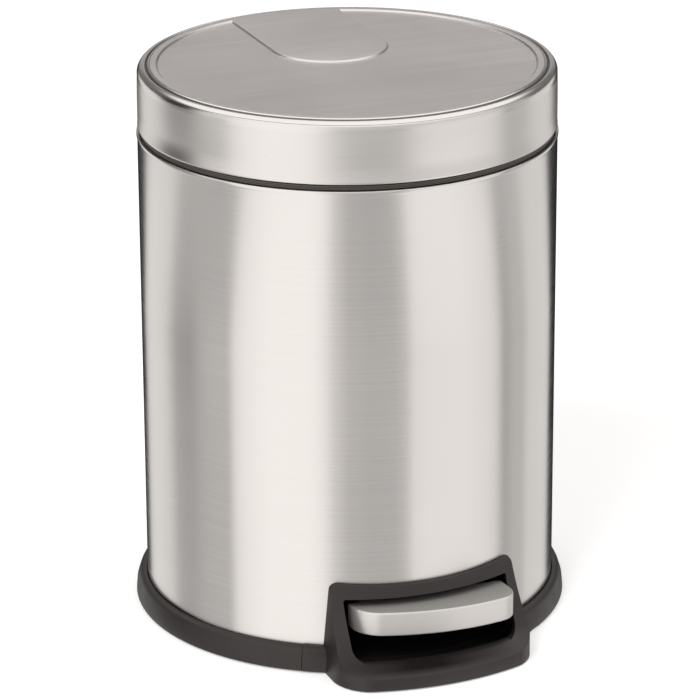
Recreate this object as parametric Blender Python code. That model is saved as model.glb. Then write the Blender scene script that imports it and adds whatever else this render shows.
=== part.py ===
"""Round kitchen pedal bin of about five litres, as an assembly of its separate pieces.

A brushed steel body and lid, a dark plastic base, collar and rear hinge, a lift-out bucket with a wire bail,
and the works inside: a pedal lever under the bucket, a push rod up the back and a soft-close damper.
Lengths below are millimetres in the bin's frame, whose Z is the bin's own axis, and the meshes are made in
metres. The pedal is at the front, -Y, and the hinge at the back, +Y.
"""

import math

import bmesh
import bpy
from mathutils import Matrix, Vector

MM = 0.001

# Room round moving and separate pieces, and a length beyond every surface, for tools that cut right through
GAP = 0.3
BEYOND = 150.0
RING_STEPS = 64

# Body
BODY_RADIUS, SHEET = 102.5, 0.8
BODY_BOTTOM, BODY_TOP = 4.0, 243.6
ROLL_RADIUS, ROLL_PROUD, ROLL_DEPTH = 1.5, 0.4, 3.2
LUG_WINDOW_HALF, LUG_WINDOW_LOW = 13.3, 226.0

# Lid and its liner
LID_RADIUS = 102.4
LID_BOTTOM, LID_CREST, LID_PANEL, LID_UNDERSIDE = 246.7, 276.8, 277.3, 275.5
LID_EDGE_ROUND, LID_INSIDE_ROUND = 3.4, 3.5
LID_GROOVE_RADIUS = 97.7
LID_RECESS_RADIUS, LID_RECESS_DEPTH = 92.3, 0.9
TONGUE_HALF_WIDTH, TONGUE_SHIFT = 28.7, 2.0
LID_NOTCH_HALF, LID_NOTCH_TOP = 15.5, 257.0
LINER_RADIUS, LINER_WALL = 100.4, 1.4
LINER_BOTTOM, LINER_UNDERSIDE, LINER_TOP = 251.0, 273.0, 275.0
LINER_SHOULDER = 2.6, 3.4
BUMPER_ANGLES = (-140, -40)
BUMPER_RADIUS, BUMPER_LOW = 1.2, 248.5

# Base and feet. The rim's section is a list of (inset from the base's radius, height).
BASE_RADIUS = 108.2
BASE_LIFT, BASE_TOP = 0.6, 12.6
RIM_SECTION = [(0.5, BASE_LIFT), (0.0, BASE_LIFT + 0.7), (0.5, 7.6), (1.4, 10.6)]
FLOOR_LOW, FLOOR_HIGH, FLOOR_RADIUS, FLOOR_EDGE = 3.4, 5.4, 101.2, 2.4
SKIRT_RADIUS = 102.95
FOOT_CIRCLE, FOOT_RADIUS, FOOT_TOP = 84.0, 7.0, 1.7
FOOT_ANGLES = (40, 140, 220, 320)

# Pedal surround. Its face in section is a list of (radius, height): a short wall, a hollow slope
# whose bend is at the sill, and a frame that leans back to the body.
SURROUND_REACH, SURROUND_WALL = 130.0, 2.3
SURROUND_FACE = [(SURROUND_REACH, 6.4), (129.2, 7.7), (125.6, 9.9), (120.9, 12.6), (118.0, 16.2),
                 (115.3, 20.9), (111.4, 27.8), (108.8, 33.4), (107.0, 38.3), (105.6, 42.4), (104.8, 45.0),
                 (104.4, 49.0)]
SURROUND_TOP, SURROUND_TOP_Y, SURROUND_TOP_SLOPE = 46.2, -91.0, 0.15
SURROUND_HALF_LOW, SURROUND_HALF_HIGH = 51.2, 47.7
SURROUND_CORNER, SURROUND_TOP_CORNER = 22.0, 4.0
HOLLOW_HALF, HOLLOW_BACK, HOLLOW_TOP = 44.5, 100.0, 40.6
TOE_HALF, TOE_BACK, TOE_LEDGE, TOE_TOP = 38.0, 110.0, 119.0, 9.0
TRAY_REACH = 122.8
SEAM_ANGLE, SEAM_INNER_ANGLE, SEAM_GAP_ANGLE = 34.3, 27.0, 0.17
OPENING_HALF, OPENING_LOW, OPENING_HIGH, OPENING_CORNER = 42.8, 11.7, 38.9, 6.0

# Pedal, lever and axle
PIVOT_Y, PIVOT_Z = -50.0, 22.0
PEDAL_REACH, PEDAL_ARC, PEDAL_BACK = 117.5, 115.0, -96.0
PEDAL_HALF, PEDAL_CORNER = 40.3, 13.0
PEDAL_LOW, PEDAL_HIGH = 22.1, 34.3
PEDAL_SHEET, PEDAL_EDGE = 0.9, 1.0
PEDAL_YAW, PEDAL_SHIFT, PEDAL_BACK_SKEW = 5.5, 1.6, 5.0
LEVER_HALF, LEVER_WALL = 9.0, 1.5
LEVER_FRONT_Y, LEVER_FRONT_Z = -105.0, 28.6
LEVER_FRONT_RADIUS, LEVER_PIVOT_RADIUS, LEVER_REAR_RADIUS = 3.0, 5.5, 3.9
CORE_LOW, POCKET_LOW, POCKET_HIGH = 22.7, 23.6, 31.9
AXLE_RADIUS, AXLE_HALF = 2.5, 19.0
BUSH_RADIUS, BUSH_INNER, BUSH_OUTER = 4.8, 9.3, 12.2
AXLE_CLIP_RADIUS, AXLE_CLIP_LOW, AXLE_CLIP_HIGH = 4.6, -18.9, -17.8
TOWER_INNER, TOWER_OUTER, TOWER_HALF_DEPTH = 12.5, 17.5, 8.0
LEVER_SCREW_X, LEVER_SCREW_Y, SCREW_HOLE = 4.5, -100.5, 1.6

# Hinge and push rod. The lug on the lid swings as far above the hinge as it hangs below it.
HINGE_Y, HINGE_Z = 108.2, 243.0
LUG_RADIUS, LUG_HALF_SWING = 15.5, 40.0
LUG_HALF, LUG_INNER, LUG_OUTER = 3.0, 4.6, 5.2
LUG_SLOT, LUG_SLOT_INNER = 3.0, 11.2
ROD_Y = HINGE_Y - LUG_RADIUS * math.cos(math.radians(LUG_HALF_SWING))
ROD_TRAVEL = 2 * LUG_RADIUS * math.sin(math.radians(LUG_HALF_SWING))
ROD_LOW_Z = PIVOT_Z - ROD_TRAVEL / 2
ROD_HIGH_Z = HINGE_Z - ROD_TRAVEL / 2
ROD_X, ROD_RADIUS, ROD_BEND = 12.2, 2.0, 3.0
ROD_HOOK_LOW, ROD_HOOK_HIGH = -13.0, -6.5
ROD_CLIP_RADIUS, ROD_CLIP_WIDTH, ROD_CLIP_INSET = 3.8, 1.2, 0.6
GUIDE_LOW, GUIDE_HIGH, GUIDE_HALF, GUIDE_DEPTH, GUIDE_SLOT = 150.0, 158.0, 5.5, 4.2, 3.2
BRACKET_HALF, BARREL_RADIUS = 9.8, 5.0
BRACKET_ARM = [(103.5, 243.5), (98.0, 250.4), (94.2, 250.4), (94.2, 270.8), (70.0, 270.8), (70.0, 272.6),
               (96.2, 272.6), (98.0, 270.8), (98.0, 256.2), (104.4, 256.2), (110.0, 249.6), (112.4, 245.2)]
BRACKET_SCREW_X, BRACKET_SCREW_Y, BRACKET_SCREW_Z, BRACKET_HOLE = 5.2, 80.0, 270.5, 1.7
PIN_RADIUS, PIN_HALF = 2.0, 16.5
HOUSING_REACH, HOUSING_HALF = 117.0, 27.0
HOUSING_LOW, HOUSING_HIGH = 206.0, 240.0
HOUSING_NOSE = [(10.0, 0.0), (15.0, 1.0), (19.0, 3.5)]
HOUSING_WELL_BACK = 114.2
HOUSING_SCREW_X, HOUSING_SCREW_Y, HOUSING_SCREW_Z = 21.5, 98.0, 221.0
HOUSING_SCREW_RADIUS, HOUSING_SCREW_HOLE = 1.6, 2.4
CHEEK_INNER, CHEEK_OUTER, CHEEK_RADIUS = 10.7, 15.0, 5.4
CHEEK_FOOT = [(103.2, HOUSING_HIGH - 4), (114.6, HOUSING_HIGH - 4)]

# Damper, beside the push rod
DAMPER_AXIS_RADIUS, DAMPER_ANGLE = 95.0, 76.0
DAMPER_X = DAMPER_AXIS_RADIUS * math.cos(math.radians(DAMPER_ANGLE))
DAMPER_Y = DAMPER_AXIS_RADIUS * math.sin(math.radians(DAMPER_ANGLE))
DAMPER_LOW, DAMPER_HIGH, DAMPER_RADIUS, DAMPER_WALL = 5.8, 69.0, 5.0, 1.2
DAMPER_CAP, DAMPER_NECK, DAMPER_FLOOR = 3.0, 1.9, 2.0
STEM_RADIUS, STEM_HEAD_RADIUS, STEM_HEAD = 1.5, 3.4, 2.2
PISTON_LOW, PISTON_HIGH = 9.0, 13.0
DAMPER_BRACKET_X, DAMPER_BRACKET_Y, DAMPER_BRACKET_TOP = (16.0, 29.5), (85.5, 96.8), 15.0
CROSSHEAD_LOW, CROSSHEAD_HIGH, CROSSHEAD_RADIUS, CROSSHEAD_ROD_RADIUS = 88.0, 92.0, 4.3, 3.4
CROSSHEAD_STEM_HOLE = 2.3

# Bucket and bail
BUCKET_BOTTOM, BUCKET_TOP = 38.0, 247.8
BUCKET_FOOT_RADIUS, BUCKET_MOUTH_RADIUS, BUCKET_RIM_RADIUS = 84.0, 92.8, 96.7
BUCKET_WALL, BUCKET_RIM, BUCKET_FOOT_ROUND = 1.6, 1.8, 3.0
BUCKET_BACK = 85.5
EAR_INNER, EAR_OUTER, EAR_RADIUS, EAR_HALF = 92.6, 95.8, 3.6, 5.0
BAIL_Z, BAIL_RADIUS, BAIL_WIRE = 251.4, 90.2, 1.6
BAIL_END_X, BAIL_BEND = 97.6, 3.0
GRIP_RADIUS, GRIP_HALF_ANGLE = 3.2, 17.0

# Collar
COLLAR_INNER, COLLAR_OUTER, COLLAR_GAP = 94.5, 101.2, 16.5
COLLAR_LOW, COLLAR_LEDGE, COLLAR_HIGH, COLLAR_LIP = 243.95, 245.7, 246.1, 248.2
COLLAR_SKIRT_LOW = 234.0

# The bin's axis stands a little behind the middle of its footprint, because the pedal's surround reaches
# further out than the hinge does.
AXIS_Y = (SURROUND_REACH - HOUSING_REACH) / 2

STEEL = ("brushed_steel", (0.62, 0.60, 0.58), 0.32, 1.0)
PLATED = ("plated_steel", (0.55, 0.55, 0.55), 0.35, 1.0)
DARK_PLASTIC = ("dark_plastic", (0.045, 0.042, 0.042), 0.55, 0.0)
BLACK_PLASTIC = ("black_plastic", (0.02, 0.02, 0.02), 0.5, 0.0)
WHITE_PLASTIC = ("white_plastic", (0.75, 0.75, 0.73), 0.4, 0.0)
RUBBER = ("rubber", (0.02, 0.02, 0.02), 0.85, 0.0)


def clear_scene():
    for obj in list(bpy.data.objects):
        bpy.data.objects.remove(obj)


def material(spec):
    name, colour, roughness, metallic = spec
    made = bpy.data.materials.get(name)
    if made is None:
        made = bpy.data.materials.new(name)
        made.use_nodes = True
        shader = made.node_tree.nodes["Principled BSDF"]
        shader.inputs["Base Color"].default_value = (*colour, 1.0)
        shader.inputs["Roughness"].default_value = roughness
        shader.inputs["Metallic"].default_value = metallic
    return made


def joint(name, y=0.0, z=0.0, parent=None):
    """An empty on a joint's axis, given in the bin's frame, that carries the pieces that move with it."""
    empty = bpy.data.objects.new(name, None)
    bpy.context.scene.collection.objects.link(empty)
    empty.location = Vector((0, y, z)) * MM
    empty["bin_frame"] = list(empty.location)
    if parent is not None:
        empty.parent = parent
        empty.location -= Vector(parent["bin_frame"])
    return empty


def add(name, shape, spec, at):
    """Makes an object from a shape drawn in the bin's frame, with its origin on the joint that carries it."""
    origin = Vector(at["bin_frame"])
    bmesh.ops.recalc_face_normals(shape, faces=shape.faces)
    bmesh.ops.transform(shape, matrix=Matrix.Translation(-origin) @ Matrix.Scale(MM, 4), verts=shape.verts)
    mesh = bpy.data.meshes.new(name)
    shape.to_mesh(mesh)
    shape.free()
    obj = bpy.data.objects.new(name, mesh)
    bpy.context.scene.collection.objects.link(obj)
    obj.parent = at
    if spec is None:
        obj.hide_render = True
        obj.display_type = "WIRE"
    else:
        mesh.materials.append(material(spec))
        mesh.shade_smooth()
        mesh.set_sharp_from_angle(angle=math.radians(30))
    return obj


def combine(obj, shape, operation):
    """A Boolean with a helper shape, which stays in the file, hidden."""
    number = len(obj.modifiers) + 1
    modifier = obj.modifiers.new(f"{operation.lower()}_{number}", "BOOLEAN")
    modifier.operation = operation
    modifier.object = add(f"{obj.name}_helper_{number}", shape, None, obj.parent)
    modifier.solver = "EXACT"


def cut(obj, shape):
    combine(obj, shape, "DIFFERENCE")


def join(obj, shape):
    combine(obj, shape, "UNION")


def keep_inside(obj, shape):
    combine(obj, shape, "INTERSECT")


def arc(centre, radius, start, end, steps):
    """Points of an arc, with both its ends. Angles are in degrees."""
    points = []
    for i in range(steps + 1):
        angle = math.radians(start + (end - start) * i / steps)
        points.append((centre[0] + radius * math.cos(angle), centre[1] + radius * math.sin(angle)))
    return points


def circle(centre, radius, steps=16):
    return arc(centre, radius, 0, 360 - 360 / steps, steps - 1)


def capsule(here, there, here_radius, there_radius, steps=6):
    """Outline round two circles and the straight sides between them."""
    along_y, along_z = there[0] - here[0], there[1] - here[1]
    heading = math.degrees(math.atan2(along_z, along_y))
    flare = math.degrees(math.asin((here_radius - there_radius) / math.hypot(along_y, along_z)))
    side = 90 - flare
    return [
        *arc(here, here_radius, heading + side, heading + 360 - side, steps),
        *arc(there, there_radius, heading - side, heading + side, steps),
    ]


def lathe(profile, start=0.0, sweep=360.0, steps=RING_STEPS):
    """Turns a closed profile of (radius, height) points about the bin's axis."""
    shape = bmesh.new()
    whole = sweep == 360.0
    rings = []
    for i in range(steps if whole else steps + 1):
        angle = math.radians(start + sweep * i / steps)
        rings.append([shape.verts.new((r * math.cos(angle), r * math.sin(angle), z)) for r, z in profile])
    for i in range(steps):
        here, there = rings[i], rings[(i + 1) % len(rings)]
        for k in range(len(profile)):
            after = (k + 1) % len(profile)
            shape.faces.new((here[k], there[k], there[after], here[after]))
    if not whole:
        shape.faces.new(rings[0])
        shape.faces.new(rings[-1])
    bmesh.ops.remove_doubles(shape, verts=shape.verts, dist=1e-4)
    return shape


def turned(profile, centre, axis="Z", steps=16):
    """A small turned piece whose profile starts and ends on its own axis."""
    shape = lathe(profile, steps=steps)
    if axis == "Y":
        bmesh.ops.transform(shape, matrix=Matrix.Rotation(math.radians(-90), 4, "X"), verts=shape.verts)
    bmesh.ops.transform(shape, matrix=Matrix.Translation(Vector(centre)), verts=shape.verts)
    return shape


def prism(outline, low, high, axis="Z"):
    """Extrudes an outline. Along Z its points are (x, y), along X (y, z) and along Y (x, z)."""
    shape = bmesh.new()
    ends = []
    for level in (low, high):
        if axis == "Z":
            ends.append([shape.verts.new((a, b, level)) for a, b in outline])
        elif axis == "X":
            ends.append([shape.verts.new((level, a, b)) for a, b in outline])
        else:
            ends.append([shape.verts.new((a, level, b)) for a, b in outline])
    bottom, top = ends
    shape.faces.new(bottom)
    shape.faces.new(top)
    for k in range(len(outline)):
        after = (k + 1) % len(outline)
        shape.faces.new((bottom[k], bottom[after], top[after], top[k]))
    return shape


def box(x, y, z):
    """A block between two values on each axis."""
    return prism([(x[0], y[0]), (x[1], y[0]), (x[1], y[1]), (x[0], y[1])], z[0], z[1])


def bowed(profile, half, steps):
    """A (radius, height) profile carried round the front of the bin between two upright side planes."""
    shape = bmesh.new()
    sections = []
    for i in range(steps + 1):
        x = half * (2 * i / steps - 1)
        sections.append([shape.verts.new((x, -math.sqrt(r * r - x * x), z)) for r, z in profile])
    for here, there in zip(sections, sections[1:]):
        for k in range(len(profile)):
            after = (k + 1) % len(profile)
            shape.faces.new((here[k], there[k], there[after], here[after]))
    shape.faces.new(sections[0])
    shape.faces.new(sections[-1])
    return shape


def wire(points, radius, sides=8):
    """A round wire along 3-D points whose path lies in one plane."""
    path = [Vector(p) for p in points]
    flat_normal = Vector((0, 0, 0))
    for before, here, after in zip(path, path[1:], path[2:]):
        flat_normal += (here - before).cross(after - here)
    flat_normal.normalize()
    shape = bmesh.new()
    rings = []
    for i, here in enumerate(path):
        heading = (path[min(i + 1, len(path) - 1)] - path[max(i - 1, 0)]).normalized()
        across = heading.cross(flat_normal)
        ring = []
        for k in range(sides):
            angle = math.tau * k / sides
            spoke = math.cos(angle) * across + math.sin(angle) * flat_normal
            ring.append(shape.verts.new(here + radius * spoke))
        rings.append(ring)
    for here, there in zip(rings, rings[1:]):
        for k in range(sides):
            after = (k + 1) % sides
            shape.faces.new((here[k], here[after], there[after], there[k]))
    shape.faces.new(rings[0])
    shape.faces.new(rings[-1])
    return shape


def footprint(half, reach, corner, back, centre_y=0.0, steps=12):
    """Plan of a piece with straight sides, a bowed front and rounded front corners."""
    corner_x = half - corner
    corner_y = centre_y - math.sqrt((reach - corner) ** 2 - corner_x**2)
    lean = math.degrees(math.atan2(centre_y - corner_y, corner_x))
    right = arc((corner_x, corner_y), corner, 0, -lean, 5)
    front = arc((0, centre_y), reach, -lean, lean - 180, steps)
    left = [(-x, y) for x, y in reversed(right)]
    return [(half, back), *right, *front[1:-1], *left, (-half, back)]


def body_shell(root):
    """The steel tube, rolled in at the top, with openings for the pedal, the lid's lug and two screws."""
    inner = BODY_RADIUS - SHEET
    roll = arc((BODY_RADIUS - ROLL_RADIUS + ROLL_PROUD, BODY_TOP - ROLL_RADIUS), ROLL_RADIUS, -40, 180, 7)
    profile = [(BODY_RADIUS, BODY_BOTTOM), *roll, (inner, BODY_TOP - ROLL_DEPTH), (inner, BODY_BOTTOM)]
    shell = add("body_shell", lathe(profile), STEEL, root)
    cut(shell, box((-HOLLOW_HALF, HOLLOW_HALF), (-BEYOND, PIVOT_Y - 10), (0, OPENING_HIGH - SHEET)))
    cut(shell, box((-LUG_WINDOW_HALF, LUG_WINDOW_HALF), (PIVOT_Y, BEYOND), (LUG_WINDOW_LOW, BODY_TOP + 1)))
    for side in (-1, 1):
        hole = circle((side * HOUSING_SCREW_X, HOUSING_SCREW_Z), HOUSING_SCREW_HOLE)
        cut(shell, prism(hole, 0, BEYOND, "Y"))


def rim_profile(proud=0.0):
    """The base's rim in section: a ledge round the body, a soft shoulder and a slightly flared side."""
    side = [(BASE_RADIUS - inset + proud, height) for inset, height in RIM_SECTION]
    shoulder = [(BASE_RADIUS - 2.7 + proud, BASE_TOP - 0.5 + proud), (BASE_RADIUS - 4.2, BASE_TOP + proud)]
    return [(SKIRT_RADIUS, BASE_LIFT), *side, *shoulder, (SKIRT_RADIUS, BASE_TOP + proud)]


def base_moulding(root):
    """Floor with a tray under the pedal, rim, towers for the lever's axle and bosses over the feet."""
    floor = [(0, FLOOR_LOW), (0, FLOOR_HIGH), (FLOOR_RADIUS, FLOOR_HIGH), (FLOOR_RADIUS, BASE_LIFT),
             (FLOOR_RADIUS - FLOOR_EDGE, BASE_LIFT), (FLOOR_RADIUS - FLOOR_EDGE, FLOOR_LOW)]
    base = add("base_moulding", lathe(floor), BLACK_PLASTIC, root)
    overlap = FLOOR_RADIUS - FLOOR_EDGE / 2
    ledge = BODY_BOTTOM - GAP - 0.1
    rim = [(overlap, BASE_LIFT), *rim_profile()[1:], (SKIRT_RADIUS, ledge), (overlap, ledge)]
    seam = SEAM_ANGLE + SEAM_GAP_ANGLE
    join(base, lathe(rim, -90 + seam, 360 - 2 * seam, 52))
    low, high = FLOOR_LOW + 0.2, FLOOR_HIGH - 0.2
    tray = [(FLOOR_RADIUS - 4, low), (TRAY_REACH, low), (TRAY_REACH, high), (FLOOR_RADIUS - 4, high)]
    join(base, bowed(tray, HOLLOW_HALF - GAP - 0.1, 16))
    for side in (-1, 1):
        tower = [(PIVOT_Y - TOWER_HALF_DEPTH, FLOOR_LOW + 1), (PIVOT_Y + TOWER_HALF_DEPTH, FLOOR_LOW + 1),
                 *arc((PIVOT_Y, PIVOT_Z), LEVER_PIVOT_RADIUS, 10, 170, 6)]
        join(base, prism(tower, *sorted((side * TOWER_INNER, side * TOWER_OUTER)), "X"))
    cut(base, prism(circle((PIVOT_Y, PIVOT_Z), AXLE_RADIUS + GAP), -BEYOND, BEYOND, "X"))
    for x, y in foot_places():
        join(base, prism(circle((x, y), FOOT_RADIUS + 2, 20), FOOT_TOP + GAP, FLOOR_LOW + 1))


def foot_places():
    return [
        (FOOT_CIRCLE * math.cos(math.radians(a)), FOOT_CIRCLE * math.sin(math.radians(a)))
        for a in FOOT_ANGLES
    ]


def feet(root):
    pad = [(0, 0), (FOOT_RADIUS - 0.6, 0), (FOOT_RADIUS, 0.6), (FOOT_RADIUS, FOOT_TOP), (0, FOOT_TOP)]
    for number, (x, y) in enumerate(foot_places(), 1):
        add(f"foot_{number}", turned(pad, (x, y, 0), steps=20), RUBBER, root)


def sloped(shape):
    """Tips the upper part of a shape, so that it drops towards the front."""
    for vert in shape.verts:
        if vert.co.z > 0:
            vert.co.z += SURROUND_TOP_SLOPE * (vert.co.y - SURROUND_TOP_Y)
    return shape


def pedal_surround(root):
    """The dark frame round the pedal, with the short lengths of base rim moulded on each side of it."""
    face = SURROUND_FACE
    crest = face[-1][1]
    sole = [(SKIRT_RADIUS, BASE_LIFT), (SURROUND_REACH - 0.5, BASE_LIFT), (SURROUND_REACH, BASE_LIFT + 0.6)]
    outer = [*sole, *face, (SKIRT_RADIUS, crest)]
    surround = add("pedal_surround", bowed(outer, SURROUND_HALF_LOW + 2, 32), DARK_PLASTIC, root)
    plan = footprint(SURROUND_HALF_LOW, SURROUND_REACH + 0.05, SURROUND_CORNER, PIVOT_Y)
    keep_inside(surround, prism(plan, -1, crest + 1))
    round_x = SURROUND_HALF_HIGH - SURROUND_TOP_CORNER
    right = arc((round_x, SURROUND_TOP - SURROUND_TOP_CORNER), SURROUND_TOP_CORNER, 4, 90, 5)
    front_view = [(SURROUND_HALF_LOW + 0.1, -1), *right, *[(-x, z) for x, z in reversed(right)],
                  (-SURROUND_HALF_LOW - 0.1, -1)]
    keep_inside(surround, sloped(prism(front_view, -BEYOND, PIVOT_Y, "Y")))
    back_face = [(r - SURROUND_WALL, z - 0.8) for r, z in face[2:9]]
    hollow = [(HOLLOW_BACK, -1), (back_face[0][0], -1), *back_face, (back_face[-1][0] - 0.7, HOLLOW_TOP),
              (HOLLOW_BACK, HOLLOW_TOP)]
    cut(surround, bowed(hollow, HOLLOW_HALF, 24))
    toe = [(TOE_BACK, -1), (face[0][0] - SURROUND_WALL, -1), (face[1][0] - SURROUND_WALL, face[0][1] - 0.2),
           (TOE_LEDGE, TOE_TOP), (TOE_BACK, TOE_TOP)]
    cut(surround, bowed(toe, TOE_HALF, 20))
    corner_x, corner_z = OPENING_HALF - OPENING_CORNER, OPENING_LOW + OPENING_CORNER
    opening = [*arc((corner_x, corner_z), OPENING_CORNER, 0, -90, 5),
               *arc((-corner_x, corner_z), OPENING_CORNER, -90, -180, 5),
               (-OPENING_HALF, OPENING_HIGH), (OPENING_HALF, OPENING_HIGH)]
    cut(surround, prism(opening, -BEYOND, PIVOT_Y, "Y"))
    for start in (-90 - SEAM_ANGLE, -90 + SEAM_INNER_ANGLE):
        join(surround, lathe(rim_profile(0.25), start, SEAM_ANGLE - SEAM_INNER_ANGLE, 3))


def pedal_plan(inset, back, skew=0.0):
    """The pedal's outline in plan, stood a little askew on its lever, and deeper on the right by the skew."""
    half = PEDAL_HALF - inset
    outline = footprint(half, PEDAL_ARC - inset, PEDAL_CORNER - inset, back, PEDAL_ARC - PEDAL_REACH)
    outline[0] = (half, back + skew)
    yaw = math.radians(PEDAL_YAW)
    turned_outline = []
    for x, y in outline:
        from_back = y - PEDAL_BACK
        turned_outline.append((PEDAL_SHIFT + x * math.cos(yaw) - from_back * math.sin(yaw),
                               PEDAL_BACK - x * math.sin(yaw) + from_back * math.cos(yaw)))
    return turned_outline


def pedal_plate(pedal):
    """Pressed steel cap over the pedal's top, front and ends."""
    outside = pedal_plan(0, PEDAL_BACK, PEDAL_BACK_SKEW)
    plate = add("pedal_plate", prism(outside, PEDAL_LOW, PEDAL_HIGH), STEEL, pedal)
    bevel = plate.modifiers.new("pressed_edge", "BEVEL")
    bevel.width = PEDAL_EDGE * MM
    bevel.segments = 2
    bevel.limit_method = "ANGLE"
    bevel.angle_limit = math.radians(50)
    hollow = pedal_plan(PEDAL_SHEET, PEDAL_BACK + 3, PEDAL_BACK_SKEW)
    cut(plate, prism(hollow, 0, PEDAL_HIGH - PEDAL_SHEET))


def pedal_core(pedal):
    """Plastic block in the pedal, with a pocket that the lever's front end goes into."""
    inset = PEDAL_SHEET + GAP + 0.05
    core = add("pedal_core", prism(pedal_plan(inset, PEDAL_BACK + 1.5), CORE_LOW, PEDAL_HIGH - inset),
               BLACK_PLASTIC, pedal)
    pocket_front = LEVER_FRONT_Y - LEVER_FRONT_RADIUS - 1
    pocket_half = LEVER_HALF + GAP
    cut(core, box((-pocket_half, pocket_half), (pocket_front, PIVOT_Y), (POCKET_LOW, POCKET_HIGH)))
    for side in (-1, 1):
        cut(core, prism(circle((side * LEVER_SCREW_X, LEVER_SCREW_Y), SCREW_HOLE, 12), 0, LEVER_FRONT_Z))


def pedal_lever(pedal):
    """Pressed steel channel from the pedal over its axle to the push rod at the back."""
    pivot = (PIVOT_Y, PIVOT_Z)
    front = (LEVER_FRONT_Y, LEVER_FRONT_Z)
    rear = (ROD_Y, ROD_LOW_Z)
    rear_arm = capsule(pivot, rear, LEVER_PIVOT_RADIUS, LEVER_REAR_RADIUS)
    front_arm = capsule(pivot, front, LEVER_PIVOT_RADIUS, LEVER_FRONT_RADIUS)
    lever = add("pedal_lever", prism(rear_arm, -LEVER_HALF, LEVER_HALF, "X"), PLATED, pedal)
    join(lever, prism(front_arm, -LEVER_HALF, LEVER_HALF, "X"))
    inside = [(front[0] + 1, front[1] + LEVER_FRONT_RADIUS - LEVER_WALL),
              (pivot[0], pivot[1] + LEVER_PIVOT_RADIUS - LEVER_WALL),
              (rear[0] + LEVER_WALL, rear[1] + LEVER_REAR_RADIUS - LEVER_WALL), (rear[0] + LEVER_WALL, 0),
              (front[0] + 1, 0)]
    cut(lever, prism(inside, -LEVER_HALF + LEVER_WALL, LEVER_HALF - LEVER_WALL, "X"))
    cut(lever, prism(circle(pivot, AXLE_RADIUS + GAP), -BEYOND, BEYOND, "X"))
    cut(lever, prism(circle(rear, ROD_RADIUS + GAP + 0.05), -BEYOND, BEYOND, "X"))
    for side in (-1, 1):
        cut(lever, prism(circle((side * LEVER_SCREW_X, LEVER_SCREW_Y), SCREW_HOLE, 12), 0, BEYOND))


def pan_screw(name, centre, axis, spec, at, head=2.8, head_height=1.7, shank=1.25, length=6.5):
    """A pan-head screw that points along +Z or +Y from the underside of its head."""
    crown = [(0, -head_height), (head * 0.7, -head_height), (head, -head_height * 0.5), (head, 0)]
    profile = [*crown, (shank, 0), (shank, length - shank), (0, length)]
    add(name, turned(profile, centre, axis, 14), spec, at)


def lever_fittings(root, pedal):
    """The axle and its clip, the two nylon bushes beside the lever and the two screws into the pedal."""
    pivot = (PIVOT_Y, PIVOT_Z)
    add("lever_axle", prism(circle(pivot, AXLE_RADIUS), -AXLE_HALF, AXLE_HALF, "X"), PLATED, root)
    rings = (("axle_clip", AXLE_CLIP_LOW, AXLE_CLIP_HIGH, AXLE_CLIP_RADIUS, PLATED),
             ("bush_left", -BUSH_OUTER, -BUSH_INNER, BUSH_RADIUS, WHITE_PLASTIC),
             ("bush_right", BUSH_INNER, BUSH_OUTER, BUSH_RADIUS, WHITE_PLASTIC))
    for name, low, high, radius, spec in rings:
        ring = add(name, prism(circle(pivot, radius), low, high, "X"), spec, root)
        cut(ring, prism(circle(pivot, AXLE_RADIUS + GAP), -BEYOND, BEYOND, "X"))
    for number, side in enumerate((-1, 1), 1):
        centre = (side * LEVER_SCREW_X, LEVER_SCREW_Y, CORE_LOW - GAP)
        pan_screw(f"pedal_screw_{number}", centre, "Z", PLATED, pedal)


def collar_ring(root):
    """Plastic collar pressed into the body's mouth, whose ledge carries the bucket."""
    ledge = [(COLLAR_INNER, COLLAR_LOW), (COLLAR_INNER, COLLAR_LEDGE), (98.6, COLLAR_LEDGE)]
    lip = [(98.6, COLLAR_LIP), (99.9, COLLAR_LIP), (99.9, COLLAR_HIGH)]
    edge = [(COLLAR_OUTER - 0.3, COLLAR_HIGH), (COLLAR_OUTER, COLLAR_HIGH - 0.3), (COLLAR_OUTER, COLLAR_LOW)]
    skirt = [(99.5, COLLAR_LOW), (99.5, COLLAR_SKIRT_LOW), (98.2, COLLAR_SKIRT_LOW), (98.2, COLLAR_LOW - 1.6),
             (96.5, COLLAR_LOW)]
    collar = add("collar_ring", lathe([*ledge, *lip, *edge, *skirt]), DARK_PLASTIC, root)
    cut(collar, box((-COLLAR_GAP, COLLAR_GAP), (0, BEYOND), (COLLAR_SKIRT_LOW - 4, LID_BOTTOM + 10)))


def lid_shell(lid):
    """Pressed steel lid: rolled hem, upright wall, groove inside the rim, and a sunk panel with a tongue."""
    inner = LID_RADIUS - SHEET
    rim = arc((LID_RADIUS - LID_EDGE_ROUND, LID_CREST - LID_EDGE_ROUND), LID_EDGE_ROUND, 0, 90, 4)
    hem = [(inner + 0.2, LID_BOTTOM), (LID_RADIUS - 0.1, LID_BOTTOM), (LID_RADIUS, LID_BOTTOM + 0.4)]
    groove = [(LID_GROOVE_RADIUS + 0.5, LID_CREST - 0.1), (LID_GROOVE_RADIUS, LID_CREST - 0.4),
              (LID_GROOVE_RADIUS - 0.7, LID_PANEL)]
    inside = [(0, LID_UNDERSIDE), (inner - LID_INSIDE_ROUND, LID_UNDERSIDE)]
    inside += [(inner - 1.0, LID_UNDERSIDE - 1.2), (inner, LID_UNDERSIDE - LID_INSIDE_ROUND)]
    inside += [(inner, LID_BOTTOM + 0.4)]
    shell = add("lid_shell", lathe([*hem, *rim, *groove, (0, LID_PANEL), *inside]), STEEL, lid)
    cut(shell, prism(sunk_panel(), LID_PANEL - LID_RECESS_DEPTH, LID_PANEL + 1))
    cut(shell, box((-LID_NOTCH_HALF, LID_NOTCH_HALF), (0, BEYOND), (BODY_TOP, LID_NOTCH_TOP)))


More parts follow.
